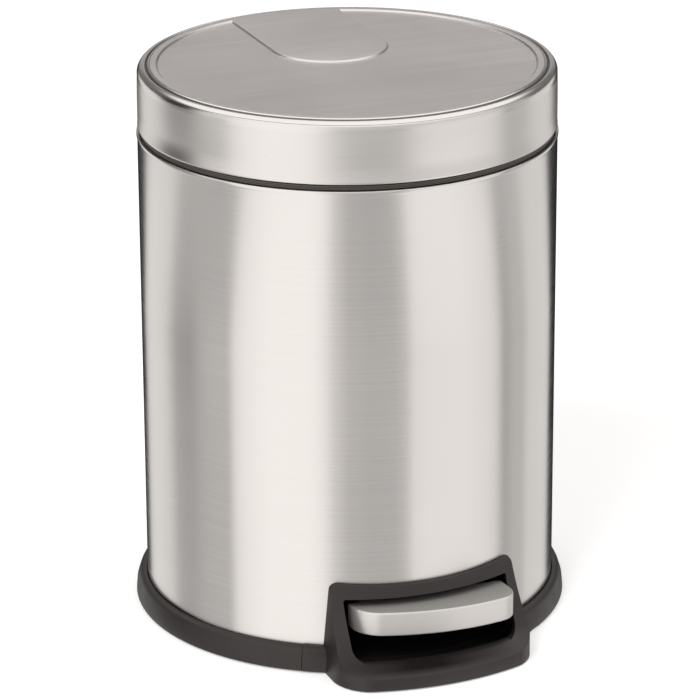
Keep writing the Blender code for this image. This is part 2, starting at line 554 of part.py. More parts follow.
def sunk_panel():
    """The circle that is pressed down into the lid, less the tongue that runs in from the hinge side."""
    half, radius = TONGUE_HALF_WIDTH, LID_RECESS_RADIUS
    left, right = (math.degrees(math.acos((TONGUE_SHIFT + side * half) / radius)) for side in (-1, 1))
    around = arc((0, 0), radius, left, 360 + right, 52)
    tongue = arc((TONGUE_SHIFT, half + 0.2), half, 0, -180, 17)
    return [*around, *tongue]


def lid_liner(lid):
    """Plastic dish inside the lid."""
    inner = LINER_RADIUS - LINER_WALL
    across, down = LINER_SHOULDER
    outside = [(0, LINER_TOP), (LINER_RADIUS - across, LINER_TOP), (LINER_RADIUS, LINER_TOP - down)]
    inside = [(inner, LINER_BOTTOM), (inner, LINER_UNDERSIDE - 1.2), (inner - 1.2, LINER_UNDERSIDE)]
    profile = [(0, LINER_UNDERSIDE), *outside, (LINER_RADIUS, LINER_BOTTOM), *inside]
    liner = add("lid_liner", lathe(profile, steps=48), BLACK_PLASTIC, lid)
    cut(liner, box((-BRACKET_HALF - 1, BRACKET_HALF + 1), (0, BEYOND), (BODY_TOP, LID_NOTCH_TOP)))
    for side in (-1, 1):
        cut(liner, prism(circle((side * BRACKET_SCREW_X, BRACKET_SCREW_Y), BRACKET_HOLE, 12), 0, LID_PANEL))


def lid_bracket(lid):
    """Arm from the lid to its hinge pin, with the slotted lug that the push rod lifts."""
    hinge = (HINGE_Y, HINGE_Z)
    arm = [*BRACKET_ARM, (HINGE_Y, HINGE_Z - 2)]
    bracket = add("lid_bracket", prism(arm, -BRACKET_HALF, BRACKET_HALF, "X"), BLACK_PLASTIC, lid)
    join(bracket, prism(circle(hinge, BARREL_RADIUS, 20), -BRACKET_HALF, BRACKET_HALF, "X"))
    join(bracket, prism(capsule(hinge, on_lug(LUG_RADIUS), LUG_INNER, LUG_OUTER), -LUG_HALF, LUG_HALF, "X"))
    slot = capsule(on_lug(LUG_SLOT_INNER), on_lug(LUG_RADIUS), LUG_SLOT, LUG_SLOT)
    cut(bracket, prism(slot, -LUG_HALF - 1, LUG_HALF + 1, "X"))
    cut(bracket, prism(circle(hinge, PIN_RADIUS + GAP), -BEYOND, BEYOND, "X"))
    for number, side in enumerate((-1, 1), 1):
        x, y = side * BRACKET_SCREW_X, BRACKET_SCREW_Y
        cut(bracket, prism(circle((x, y), BRACKET_HOLE, 12), LINER_BOTTOM, LID_PANEL))
        pan_screw(f"bracket_screw_{number}", (x, y, BRACKET_SCREW_Z), "Z", PLATED, lid, length=4.3)


def on_lug(radius):
    """A point on the lug's middle line, this far from the hinge."""
    droop = math.radians(LUG_HALF_SWING)
    return HINGE_Y - radius * math.cos(droop), HINGE_Z - radius * math.sin(droop)


def lid_bumpers(lid):
    """Rubber studs under the liner's edge, which meet the collar as the lid closes."""
    for number, angle in enumerate(BUMPER_ANGLES, 1):
        radius = LINER_RADIUS - LINER_WALL / 2 - 0.4
        centre = (radius * math.cos(math.radians(angle)), radius * math.sin(math.radians(angle)), 0)
        low, high = BUMPER_LOW, LINER_BOTTOM - GAP
        tip = [(0, low), (BUMPER_RADIUS - 0.4, low), (BUMPER_RADIUS, low + 0.4)]
        profile = [*tip, (BUMPER_RADIUS, high), (0, high)]
        add(f"lid_bumper_{number}", turned(profile, centre, steps=10), RUBBER, lid)


def hinge_housing(root):
    """Rear moulding outside the body, whose two cheeks hold the hinge pin."""
    reach, low, high = HOUSING_REACH, HOUSING_LOW, HOUSING_HIGH
    clear = BODY_RADIUS + ROLL_PROUD
    edge = math.degrees(math.acos(HOUSING_HALF / clear))
    inner = arc((0, 0), clear, edge, 180 - edge, 8)
    right = [(x, reach - drop) for x, drop in HOUSING_NOSE] + [(HOUSING_HALF, inner[0][1] + 2.5)]
    plan = [*inner, *[(-x, y) for x, y in reversed(right)], *right]
    housing = add("hinge_housing", prism(plan, low, high), BLACK_PLASTIC, root)
    chin = [(reach - 11, low - 1), (reach - 11, low), (reach - 2.5, low + 6), (reach, low + 11)]
    brow = [(reach, high - 2.2), (reach - 1.6, high), (reach - 1.6, high + 1)]
    keep_inside(housing, prism([(0, low - 1), *chin, *brow, (0, high + 1)], -BEYOND, BEYOND, "X"))
    for side in (-1, 1):
        cheek = [*arc((HINGE_Y, HINGE_Z), CHEEK_RADIUS, 0, 180, 8), *CHEEK_FOOT]
        join(housing, prism(cheek, *sorted((side * CHEEK_INNER, side * CHEEK_OUTER)), "X"))
    cut(housing, box((-CHEEK_INNER, CHEEK_INNER), (0, HOUSING_WELL_BACK), (LUG_WINDOW_LOW, LID_PANEL)))
    cut(housing, prism(circle((HINGE_Y, HINGE_Z), PIN_RADIUS + GAP), -BEYOND, BEYOND, "X"))
    for number, side in enumerate((-1, 1), 1):
        x, z = side * HOUSING_SCREW_X, HOUSING_SCREW_Z
        cut(housing, prism(circle((x, z), HOUSING_SCREW_RADIUS + 0.4), 0, 108, "Y"))
        pan_screw(f"housing_screw_{number}", (x, HOUSING_SCREW_Y, z), "Y", PLATED, root, 4.0, 2.2,
                  HOUSING_SCREW_RADIUS, 9.4)
    add("hinge_pin", prism(circle((HINGE_Y, HINGE_Z), PIN_RADIUS), -PIN_HALF, PIN_HALF, "X"), PLATED, root)


def push_rod(rod):
    """Steel rod up the back, hooked through the lever and the lid's lug, with two push-on clips."""
    low_bend = arc((ROD_X - ROD_BEND, ROD_LOW_Z + ROD_BEND), ROD_BEND, -90, 0, 5)
    high_bend = arc((ROD_X - ROD_BEND, ROD_HIGH_Z - ROD_BEND), ROD_BEND, 0, 90, 5)
    path = [(ROD_HOOK_LOW, ROD_LOW_Z), *low_bend, *high_bend, (ROD_HOOK_HIGH, ROD_HIGH_Z)]
    add("push_rod", wire([(x, ROD_Y, z) for x, z in path], ROD_RADIUS, 10), PLATED, rod)
    clips = (("rod_clip_low", ROD_HOOK_LOW, ROD_LOW_Z), ("rod_clip_high", ROD_HOOK_HIGH, ROD_HIGH_Z))
    for name, hook, z in clips:
        start = hook + ROD_CLIP_INSET
        ring = prism(circle((ROD_Y, z), ROD_CLIP_RADIUS, 14), start, start + ROD_CLIP_WIDTH, "X")
        clip = add(name, ring, PLATED, rod)
        cut(clip, prism(circle((ROD_Y, z), ROD_RADIUS + 0.25, 12), -BEYOND, BEYOND, "X"))


def rod_guide(root):
    """Clip on the body's back wall that the push rod slides through."""
    outer = BODY_RADIUS - SHEET - GAP - 0.05
    right, left, front = ROD_X + GUIDE_HALF, ROD_X - GUIDE_HALF, ROD_Y - GUIDE_DEPTH
    start, end = (math.degrees(math.acos(x / outer)) for x in (right, left))
    outline = [*arc((0, 0), outer, start, end, 4), (left, front), (right, front)]
    guide = add("rod_guide", prism(outline, GUIDE_LOW, GUIDE_HIGH), BLACK_PLASTIC, root)
    round_rod = arc((ROD_X, ROD_Y), GUIDE_SLOT, 0, 180, 8)
    mouth = [(ROD_X + GUIDE_SLOT, 0), *round_rod, (ROD_X - GUIDE_SLOT, 0)]
    cut(guide, prism(mouth, 0, LID_PANEL))


def damper(root, rod, plunger):
    """Soft-close damper: a cylinder clipped to the base, and a plunger that hangs on the rod's crosshead."""
    centre = (DAMPER_X, DAMPER_Y, 0)
    radius, bore = DAMPER_RADIUS, DAMPER_RADIUS - DAMPER_WALL
    cap, floor = DAMPER_HIGH - DAMPER_CAP, DAMPER_LOW + DAMPER_FLOOR
    outside = [(0, DAMPER_LOW), (radius, DAMPER_LOW), (radius, DAMPER_HIGH), (DAMPER_NECK, DAMPER_HIGH)]
    tube = [*outside, (DAMPER_NECK, cap), (bore, cap), (bore, floor), (0, floor)]
    add("damper_cylinder", turned(tube, centre, steps=20), BLACK_PLASTIC, root)
    head, piston = CROSSHEAD_HIGH + GAP + 0.1, bore - GAP - 0.1
    stem = [(0, PISTON_LOW), (piston, PISTON_LOW), (piston, PISTON_HIGH), (STEM_RADIUS, PISTON_HIGH)]
    stem += [(STEM_RADIUS, head), (STEM_HEAD_RADIUS, head), (STEM_HEAD_RADIUS, head + STEM_HEAD),
             (0, head + STEM_HEAD)]
    add("damper_plunger", turned(stem, centre), PLATED, plunger)
    block = box(DAMPER_BRACKET_X, DAMPER_BRACKET_Y, (FLOOR_HIGH + GAP + 0.05, DAMPER_BRACKET_TOP))
    foot = add("damper_bracket", block, BLACK_PLASTIC, root)
    cut(foot, prism(circle((DAMPER_X, DAMPER_Y), radius + GAP, 20), 0, DAMPER_HIGH))
    outline = capsule((ROD_X, ROD_Y), (DAMPER_X, DAMPER_Y), CROSSHEAD_ROD_RADIUS, CROSSHEAD_RADIUS)
    crosshead = add("rod_crosshead", prism(outline, CROSSHEAD_LOW, CROSSHEAD_HIGH), BLACK_PLASTIC, rod)
    cut(crosshead, prism(circle((ROD_X, ROD_Y), ROD_RADIUS + GAP), 0, BEYOND))
    cut(crosshead, prism(circle((DAMPER_X, DAMPER_Y), CROSSHEAD_STEM_HOLE), 0, BEYOND))


def flat_back(shape, limit):
    """Flattens the back of a turned shape."""
    for vert in shape.verts:
        vert.co.y = min(vert.co.y, limit)
    return shape


def inner_bucket(bucket):
    """The lift-out bucket, tapered, with a flat back that clears the push rod and ears for its bail."""
    low, high, wall, turn = BUCKET_BOTTOM, BUCKET_TOP, BUCKET_WALL, BUCKET_FOOT_ROUND
    foot, mouth, rim = BUCKET_FOOT_RADIUS, BUCKET_MOUTH_RADIUS, BUCKET_RIM_RADIUS
    outer = [(0, low), (foot - turn, low), (foot, low + turn), (mouth, high - BUCKET_RIM)]
    outer += [(rim, high - BUCKET_RIM), (rim, high - 0.5), (rim - 0.5, high), (0, high)]
    body = add("inner_bucket", lathe(outer), BLACK_PLASTIC, bucket)
    keep_inside(body, box((-BEYOND, BEYOND), (-BEYOND, BUCKET_BACK), (0, LID_PANEL)))
    for side in (-1, 1):
        ear = [(-EAR_HALF, high - 1), (EAR_HALF, high - 1), *arc((0, BAIL_Z), EAR_RADIUS, 0, 180, 6)]
        join(body, prism(ear, *sorted((side * EAR_INNER, side * EAR_OUTER)), "X"))
    inner = [(0, low + wall), (foot - turn - wall, low + wall), (foot - wall, low + turn + wall),
             (mouth - wall, high), (mouth - wall, high + 1), (0, high + 1)]
    cut(body, flat_back(lathe(inner), BUCKET_BACK - wall))
    cut(body, prism(circle((0, BAIL_Z), BAIL_WIRE + GAP + 0.05, 12), -BEYOND, BEYOND, "X"))


def bucket_bail(bail):
    """Wire bail that lies forward on the bucket's rim, with a tubular grip."""
    bend = arc((BAIL_RADIUS + BAIL_BEND, -BAIL_BEND), BAIL_BEND, 90, 180, 4)
    right = [(BAIL_END_X, 0), *bend]
    round_front = arc((0, 0), BAIL_RADIUS, -4, -176, 28)
    path = [*right, *round_front, *[(-x, y) for x, y in reversed(right)]]
    add("bucket_bail", wire([(x, y, BAIL_Z) for x, y in path], BAIL_WIRE), PLATED, bail)
    centre = (BAIL_RADIUS, BAIL_Z)
    start, sweep = -90 - GRIP_HALF_ANGLE, 2 * GRIP_HALF_ANGLE
    grip = add("bail_grip", lathe(circle(centre, GRIP_RADIUS, 10), start, sweep, 6), BLACK_PLASTIC, bail)
    cut(grip, lathe(circle(centre, BAIL_WIRE + GAP + 0.1, 8), start - sweep / 6, sweep * 8 / 6, 8))


def build():
    clear_scene()
    root = joint("bin_axis")
    root.location.y = AXIS_Y * MM
    lid = joint("lid_hinge_axis", HINGE_Y, HINGE_Z, root)
    pedal = joint("pedal_pivot_axis", PIVOT_Y, PIVOT_Z, root)
    rod = joint("rod_pivot_axis", ROD_Y, ROD_LOW_Z, pedal)
    plunger = joint("plunger_axis", DAMPER_Y, CROSSHEAD_HIGH, root)
    bucket = joint("bucket_axis", 0, BUCKET_BOTTOM, root)
    bail = joint("bail_axis", 0, BAIL_Z, bucket)
    body_shell(root)
    base_moulding(root)
    feet(root)
    pedal_surround(root)
    collar_ring(root)
    hinge_housing(root)
    rod_guide(root)
    lid_shell(lid)
    lid_liner(lid)
    lid_bracket(lid)
    lid_bumpers(lid)
    pedal_plate(pedal)
    pedal_core(pedal)
    pedal_lever(pedal)
    lever_fittings(root, pedal)
    push_rod(rod)
    damper(root, rod, plunger)
    inner_bucket(bucket)
    bucket_bail(bail)


build()
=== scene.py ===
"""Looks of the round pedal bin: brushed steel, grained plastic, and the studio that the photograph shows.

Lengths are millimetres about the bin's own axis, scaled to metres as each mesh is made.
"""

import math

import bmesh
import bpy
from mathutils import Matrix, Vector


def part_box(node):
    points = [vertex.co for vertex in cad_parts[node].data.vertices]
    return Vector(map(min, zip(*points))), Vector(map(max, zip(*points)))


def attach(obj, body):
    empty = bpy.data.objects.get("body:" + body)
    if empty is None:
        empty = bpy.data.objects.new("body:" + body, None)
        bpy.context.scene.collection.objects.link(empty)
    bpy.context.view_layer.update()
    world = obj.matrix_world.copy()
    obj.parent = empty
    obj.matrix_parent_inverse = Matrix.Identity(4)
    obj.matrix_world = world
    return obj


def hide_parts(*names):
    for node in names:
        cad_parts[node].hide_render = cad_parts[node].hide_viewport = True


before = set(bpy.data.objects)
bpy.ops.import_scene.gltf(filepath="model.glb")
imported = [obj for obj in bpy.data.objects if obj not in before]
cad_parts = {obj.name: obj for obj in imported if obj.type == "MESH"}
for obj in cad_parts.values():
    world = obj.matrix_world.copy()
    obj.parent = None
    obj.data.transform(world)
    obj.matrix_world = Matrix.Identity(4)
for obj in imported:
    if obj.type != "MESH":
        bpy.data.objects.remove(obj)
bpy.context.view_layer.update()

MM = 0.001
LID_LOW, LID_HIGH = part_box("lid_shell")
AXIS_Y = (LID_LOW[1] + LID_HIGH[1]) / 2

# Camera, fitted to the photograph
VIEW_AZIMUTH, VIEW_PITCH, VIEW_ROLL, VIEW_YAW = 21.9, 20.417, -0.264, 0.024
CAMERA_DISTANCE, CAMERA_HEIGHT = 1813.3, 802.3
CAMERA_LENS, CAMERA_SENSOR = 199.7, 36.0

# Fineness of the turned shapes, and the bend in degrees from which an edge stays sharp
SEGMENTS, INNER_SEGMENTS = 288, 192
SHARP_ANGLE, WIDE_SHARP_ANGLE = 35, 40
NODE_EDGE = 0.35

# Slots at the back for the hinge and its arm: half width, and the heights where they start and end
BODY_SLOT, COLLAR_SLOT = (13.3, 226, 260), (16.5, 230, 260)
LID_SLOT, LINER_SLOT = (15.5, 240, 257), (10.8, 240, 257)
SLOT_REACH = (90, 110)

# Body and collar
SHEET = 0.8
BODY_RADIUS, BODY_BOTTOM, BODY_TOP = 102.5, 4.0, 243.6
BODY_LIP, BODY_TURN_IN, BODY_HEM = 0.4, 1.2, 3.2
HOUSING_SCREW_X, HOUSING_SCREW_Z, HOUSING_SCREW_HOLE = 21.5, 221, 2.4
BODY_WINDOW_HALF, BODY_WINDOW_TOP = 44.5, 37.5
COLLAR_RADIUS, COLLAR_BOTTOM, COLLAR_GROOVE = 101.2, 243.95, 0.3

# Base
BASE_RADIUS, BASE_LIFT, BASE_TOP = 108.2, 0.6, 12.6
BASE_SHOULDER = 3.5
SKIRT_RADIUS, SKIRT_ROOT, SKIRT_FOOT = 102.95, 100.0, 3.6
FLOOR_LOW, FLOOR_ROOT, FLOOR_HIGH, FLOOR_RADIUS, FLOOR_EDGE = 3.4, 4.4, 5.4, 101.2, 2.4
RIM_STEPS, RIM_PIECE_STEPS = 220, 14
SEAM_ANGLE, SEAM_INNER_ANGLE, SEAM_GAP_ANGLE, SEAM_PROUD = 34.3, 27.0, 0.17, 0.25
TRAY_INNER, TRAY_OUTER, TRAY_TOP, TRAY_HALF = 97.2, 122.8, 5.2, 44.1
PIVOT_Y, PIVOT_Z, PIVOT_HOLE, PIVOT_BOSS = -50, 22, 2.8, 5.5
TOWER_INNER, TOWER_OUTER, TOWER_HALF_DEPTH = 12.5, 17.5, 8
FOOT_ANGLES, FOOT_CIRCLE, FOOT_BOSS, FOOT_BOSS_LOW = (40, 140, 220, 320), 84, 9, 2.0

# Surround
SURROUND_TOP, SURROUND_TOP_Y, SURROUND_TOP_SLOPE = 46.2, -91, 0.15
SURROUND_HALF_LOW, SURROUND_HALF_HIGH = 51.2, 47.7
SURROUND_REACH, SURROUND_CORNER, SURROUND_TOP_CORNER = 130.05, 22.0, 4.0
SURROUND_BLANK_TOP, SURROUND_EDGE = 49.0, 1.5
SURROUND_FACE = [
    (129.3, BASE_LIFT), (129.75, BASE_LIFT + 0.15), (130.0, BASE_LIFT + 0.6), (130.0, 6.2), (129.85, 6.9),
    (129.5, 7.45), (129.0, 7.85), (127.4, 8.8), (125.6, 9.9), (123.1, 11.2), (120.9, 12.6), (119.3, 14.3),
    (118.0, 16.2), (116.5, 18.6), (115.3, 20.9), (113.2, 24.3), (111.4, 27.8), (110.0, 30.6), (108.8, 33.4),
    (107.8, 35.9), (107.0, 38.3), (106.2, 40.5), (105.6, 42.4), (104.8, 45.0), (104.4, SURROUND_BLANK_TOP),
]

# The hollow behind the surround's face: it follows part of the face, set in and down by these
HOLLOW_FACE, HOLLOW_INSET, HOLLOW_DROP = SURROUND_FACE[8:21:2], 2.3, 0.8
HOLLOW_BACK, HOLLOW_HALF, HOLLOW_NECK, HOLLOW_TOP = 100, 44.5, 104.0, 40.6
TOE_HALF, TOE_HOLLOW = 38.0, [(110, -1), (127.7, -1), (126.9, 6.2), (119, 9.0), (110, 9.0)]
OPENING_HALF, OPENING_LOW, OPENING_HIGH, OPENING_CORNER, OPENING_CHAMFER = 42.8, 11.7, 38.9, 6.0, 0.8

# Pedal
PEDAL_HALF, PEDAL_ARC, PEDAL_ARC_Y, PEDAL_CORNER = 40.3, 115.0, -2.5, 13.0
PEDAL_LOW, PEDAL_HIGH, PEDAL_BACK = 22.1, 34.3, -96
PEDAL_SHEET, PEDAL_EDGE = 0.9, 1.0
PEDAL_YAW, PEDAL_SHIFT, PEDAL_BACK_SKEW = 5.5, 1.6, 5.0

# Lid, with the step that is pressed round its panel and tongue
LID_RADIUS, LID_BOTTOM, LID_PANEL = 102.4, 246.7, 277.3
LID_RIM_CENTRE, LID_RIM_BEND = (98.6, 273.25), 3.45
LID_SHOULDER_RADIUS, LID_SHOULDER_BEND = 95.9, 1.5
LID_FLAT_RADIUS = 93.25
RECESS_RADIUS, RECESS_DEPTH = 92.4, 0.9
TONGUE_HALF, TONGUE_CORNER, TONGUE_SHIFT = 28.7, 0.8, 2.0
STEP_ROWS, STEP_HALF, STEP_LEAD, STEP_LEAD_DEPTH = 10, 0.5, 0.25, 0.06
LINER_RADIUS, LINER_INNER, LINER_BOTTOM, LINER_UNDERSIDE, LINER_TOP = 100.4, 99.0, 251, 273, 275
BRACKET_SCREW_X, BRACKET_SCREW_Y, BRACKET_HOLE = 5.2, 80, 1.7

# Bucket
BUCKET_BOTTOM, BUCKET_TOP, BUCKET_BACK = 38.0, 247.8, 85.5
BUCKET_FOOT_RADIUS, BUCKET_MOUTH_RADIUS, BUCKET_RIM_RADIUS = 84.0, 92.8, 96.7
BUCKET_WALL, BUCKET_RIM, BUCKET_FOOT_ROUND = 1.6, 1.8, 3
BAIL_Z, BAIL_HOLE, EAR_RADIUS, EAR_HALF, EAR_INNER, EAR_OUTER = 251.4, 1.95, 3.6, 5, 92.6, 95.8

# Steel colours, and the stretches that draw the brushing's lines round the bin or across it. The tread's
# colour, darker than the pedal's steel, is painted shade
# The darker steel laid in the lid's groove and at the foot of its pressed step is painted shade
STEEL, PANEL_STEEL, GROOVE_SHADE_STEEL, TREAD_SHADE_STEEL = (
    (0.62, 0.596, 0.581), (0.62, 0.588, 0.583), (0.17, 0.16, 0.15), (0.3, 0.288, 0.276))
ZINC = (0.56, 0.56, 0.55)
ROUND, ACROSS, PEDAL_ACROSS = (0.002, 0.002, 1.0), (0.004, 1.0, 1.0), (0.01, 1.0, 1.0)

# Brushing: fineness of its lines and clouds, how much they change colour, height and roughness, and the share
# of a turn that lays the reflection's stretch across the lines
BRUSH_LINES, BRUSH_CLOUDS, BRUSH_CONTRAST, BRUSH_GRAIN = 1000.0, 14.0, 0.02, 0.035
LINE_DRIFT, CLOUD_DRIFT = 0.035, 0.02
STEEL_RELIEF, PLASTIC_RELIEF = 0.0002, 0.0003
TANGENT_TURN = 0.25

# Plastic colours and grain
CHARCOAL, COLLAR_GREY, BLACK = (0.0125, 0.0105, 0.0105), (0.07, 0.065, 0.06), (0.012, 0.012, 0.012)
NYLON, RUBBER = (0.72, 0.71, 0.68), (0.02, 0.02, 0.02)
SPARK_SIZE, SPARK_CONTRAST, SPARK_GRAIN = 2600.0, 0.18, 0.12
GLOSS, GLOSS_TINT = 0.5, (1.0, 0.93, 0.90, 1.0)

# The slope below the pedal whose gloss is taken away as painted shade, in metres: its middle, half width, and
# the heights where it starts and ends
SHADED_SILL_X, SHADED_SILL_HALF = -0.01, (0.008, 0.05)
SHADED_SILL_START, SHADED_SILL_END = (0.0072, 0.0095), (0.0125, 0.024)

# Brightness of the studio round the bin, by the angle from the camera's side, positive to its right. The
# bright stretches are soft boxes and the dark ones the gaps between them.
STUDIO_BANDS = [
    (-180, 0.02), (-157, 0.02), (-150, 0.85), (-144, 1.02), (-120, 1.04), (-111, 0.66), (-84, 0.64),
    (-70, 0.69), (-66, 1.24), (-60, 1.35), (-46, 1.46), (-22, 1.45), (-15, 1.33), (-8, 0.95), (0, 0.71),
    (12, 0.65), (26, 0.66), (32, 0.82), (37, 1.20), (44, 1.29), (66, 1.31), (84, 1.22), (91, 1.12),
    (95, 0.54), (101, 0.64), (105, 0.75), (112, 0.67), (119, 0.96), (147, 0.96), (151, 0.02), (180, 0.02),
]

# The share of that brightness near the lid's height and above, where the soft boxes end unevenly
UPPER_SHARES = [
    (-180, 1.0), (-125, 1.0), (-114, 0.08), (-95, 0.08), (-86, 1.3), (-80, 1.55), (-73, 1.5), (-66, 1.0),
    (-15, 1.0), (2, 1.3), (24, 1.3), (38, 0.78), (90, 0.78), (97, 1.0), (180, 1.0),
]
BACK_CORNERS, BACK_PANEL, OVERHEAD = 0.2, 0.5, 1.5

# Where each of these lights fades in, by the height of a ray's direction and by its lean to the camera
UPPER_FROM, OVERHEAD_FROM = (-0.31, -0.17), (0.5, 0.62)
CORNERS_FROM, CORNERS_BEHIND = (0.02, 0.12), (-0.3, -0.5)
PANEL_FROM, PANEL_BEHIND = (0.0, 0.12), (-0.9, -0.97)
PANEL_FOOT_FROM, PANEL_FOOT_BEHIND = (-0.16, -0.06), (-0.955, -0.985)

# The even light on matt surfaces, the white behind the bin, and the floor and lamps in metres and watts
FILL = 0.6
CAMERA_WHITE, WARM_WHITE = 1.0, (1.0, 0.985, 0.965, 1.0)
GROUND_REACH, GROUND_WHITE, GROUND_GLOW = 6.0, 0.92, 0.3
LAMP_TARGET = (0, 0, 0.1)
LAMPS = [("key", (-1.6, -1.2, 2.2), 1.4, 40), ("fill", (1.8, -1.0, 1.6), 1.6, 18)]


def arc(centre, radius, start, end, steps):
    """Points of an arc, with both its ends. Angles are in degrees."""
    points = []
    for i in range(steps + 1):
        angle = math.radians(start + (end - start) * i / steps)
        points.append((centre[0] + radius * math.cos(angle), centre[1] + radius * math.sin(angle)))
    return points


def circle(centre, radius, steps=24):
    return arc(centre, radius, 0, 360 - 360 / steps, steps - 1)


def bridge(shape, low, high, material=0):
    """Faces between two closed loops with as many vertices each."""
    for i in range(len(low)):
        after = (i + 1) % len(low)
        shape.faces.new((low[i], low[after], high[after], high[i])).material_index = material


def lathe(profile, start=0.0, sweep=360.0, steps=SEGMENTS):
    """Turns a closed profile of (radius, height) points about the bin's axis."""
    shape = bmesh.new()
    whole = sweep == 360.0
    sections = []
    for i in range(steps if whole else steps + 1):
        angle = math.radians(start + sweep * i / steps)
        sections.append([shape.verts.new((r * math.cos(angle), r * math.sin(angle), z)) for r, z in profile])
    for i in range(steps):
        bridge(shape, sections[i], sections[(i + 1) % len(sections)])
    if not whole:
        shape.faces.new(sections[0])
        shape.faces.new(sections[-1])
    bmesh.ops.remove_doubles(shape, verts=shape.verts, dist=1e-4)
    return shape


def prism(outline, low, high, axis="Z"):
    """Extrudes an outline. Along Z its points are (x, y), along X (y, z) and along Y (x, z)."""
    shape = bmesh.new()
    ends = []
    for level in (low, high):
        if axis == "Z":
            ends.append([shape.verts.new((a, b, level)) for a, b in outline])
        elif axis == "X":
            ends.append([shape.verts.new((level, a, b)) for a, b in outline])
        else:
            ends.append([shape.verts.new((a, level, b)) for a, b in outline])
    for end in ends:
        shape.faces.new(end)
    bridge(shape, *ends)
    return shape


def box(x, y, z):
    return prism([(x[0], y[0]), (x[1], y[0]), (x[1], y[1]), (x[0], y[1])], z[0], z[1])


def bowed(profile, half, steps):
    """A (radius, height) profile carried round the front of the bin between two upright side planes."""
    shape = bmesh.new()
    sections = []
    for i in range(steps + 1):
        x = half * (2 * i / steps - 1)
        sections.append([shape.verts.new((x, -math.sqrt(r * r - x * x), z)) for r, z in profile])
    for here, there in zip(sections, sections[1:]):
        bridge(shape, here, there)
    shape.faces.new(sections[0])
    shape.faces.new(sections[-1])
    return shape


def footprint(half, reach, corner, back, centre_y, steps, corner_steps):
    """Plan of a piece with straight sides, a bowed front and rounded front corners."""
    corner_x = half - corner
    corner_y = centre_y - math.sqrt((reach - corner) ** 2 - corner_x**2)
    lean = math.degrees(math.atan2(centre_y - corner_y, corner_x))
    right = arc((corner_x, corner_y), corner, 0, -lean, corner_steps)
    front = arc((0, centre_y), reach, -lean, lean - 180, steps)
    left = [(-x, y) for x, y in reversed(right)]
    return [(half, back), *right, *front[1:-1], *left, (-half, back)]


def to_object(name, shape, materials=()):
    """Turns a shape drawn in millimetres about the bin's axis into an object in the frame."""
    bmesh.ops.recalc_face_normals(shape, faces=shape.faces)
    place = Matrix.Translation((0, AXIS_Y, 0)) @ Matrix.Scale(MM, 4)
    bmesh.ops.transform(shape, matrix=place, verts=shape.verts)
    mesh = bpy.data.meshes.new(name)
    shape.to_mesh(mesh)
    shape.free()
    for made in materials:
        mesh.materials.append(made)
    obj = bpy.data.objects.new(name, mesh)
    bpy.context.scene.collection.objects.link(obj)
    return obj


def combine(obj, shape, operation):
    """Applies a Boolean with a helper shape, which is then removed."""
    helper = to_object("helper", shape)
    modifier = obj.modifiers.new("boolean", "BOOLEAN")
    modifier.operation = operation
    modifier.object = helper
    modifier.solver = "EXACT"
    apply_modifiers(obj)
    bpy.data.objects.remove(helper)


def cut(obj, *shapes):
    for shape in shapes:
        combine(obj, shape, "DIFFERENCE")


def add(obj, *shapes):
    for shape in shapes:
        combine(obj, shape, "UNION")


def trim(obj, *shapes):
    """Keeps only what lies inside each of the shapes."""
    for shape in shapes:
        combine(obj, shape, "INTERSECT")


def back_slot(half, low, high):
    """The space that a slot for the hinge takes out of a round wall."""
    return box((-half, half), SLOT_REACH, (low, high))


def apply_modifiers(obj):
    """Replaces the mesh by what its modifiers make of it."""
    graph = bpy.context.evaluated_depsgraph_get()
    made = bpy.data.meshes.new_from_object(obj.evaluated_get(graph))
    old = obj.data
    obj.modifiers.clear()
    obj.data = made
    made.name = old.name
    bpy.data.meshes.remove(old)


def round_edges(obj, width, segments, angle=None):
    """Bevels the edges that bend by more than an angle, or else those that are marked with a weight."""
    bevel = obj.modifiers.new("soft_edges", "BEVEL")
    bevel.width = width * MM
    bevel.segments = segments
    bevel.limit_method = "WEIGHT" if angle is None else "ANGLE"
    if angle is not None:
        bevel.angle_limit = math.radians(angle)


def shade(obj, sharp=SHARP_ANGLE):
    """Smooth shading, apart from edges that bend by more than an angle in degrees."""
    obj.data.shade_smooth()
    obj.data.set_sharp_from_angle(angle=math.radians(sharp))


def dress(obj, body, slot, *nodes):
    """Ties an object to its body and hides the CAD nodes that it stands for. Its material slot is not used.
    """
    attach(obj, body)
    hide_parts(*nodes)


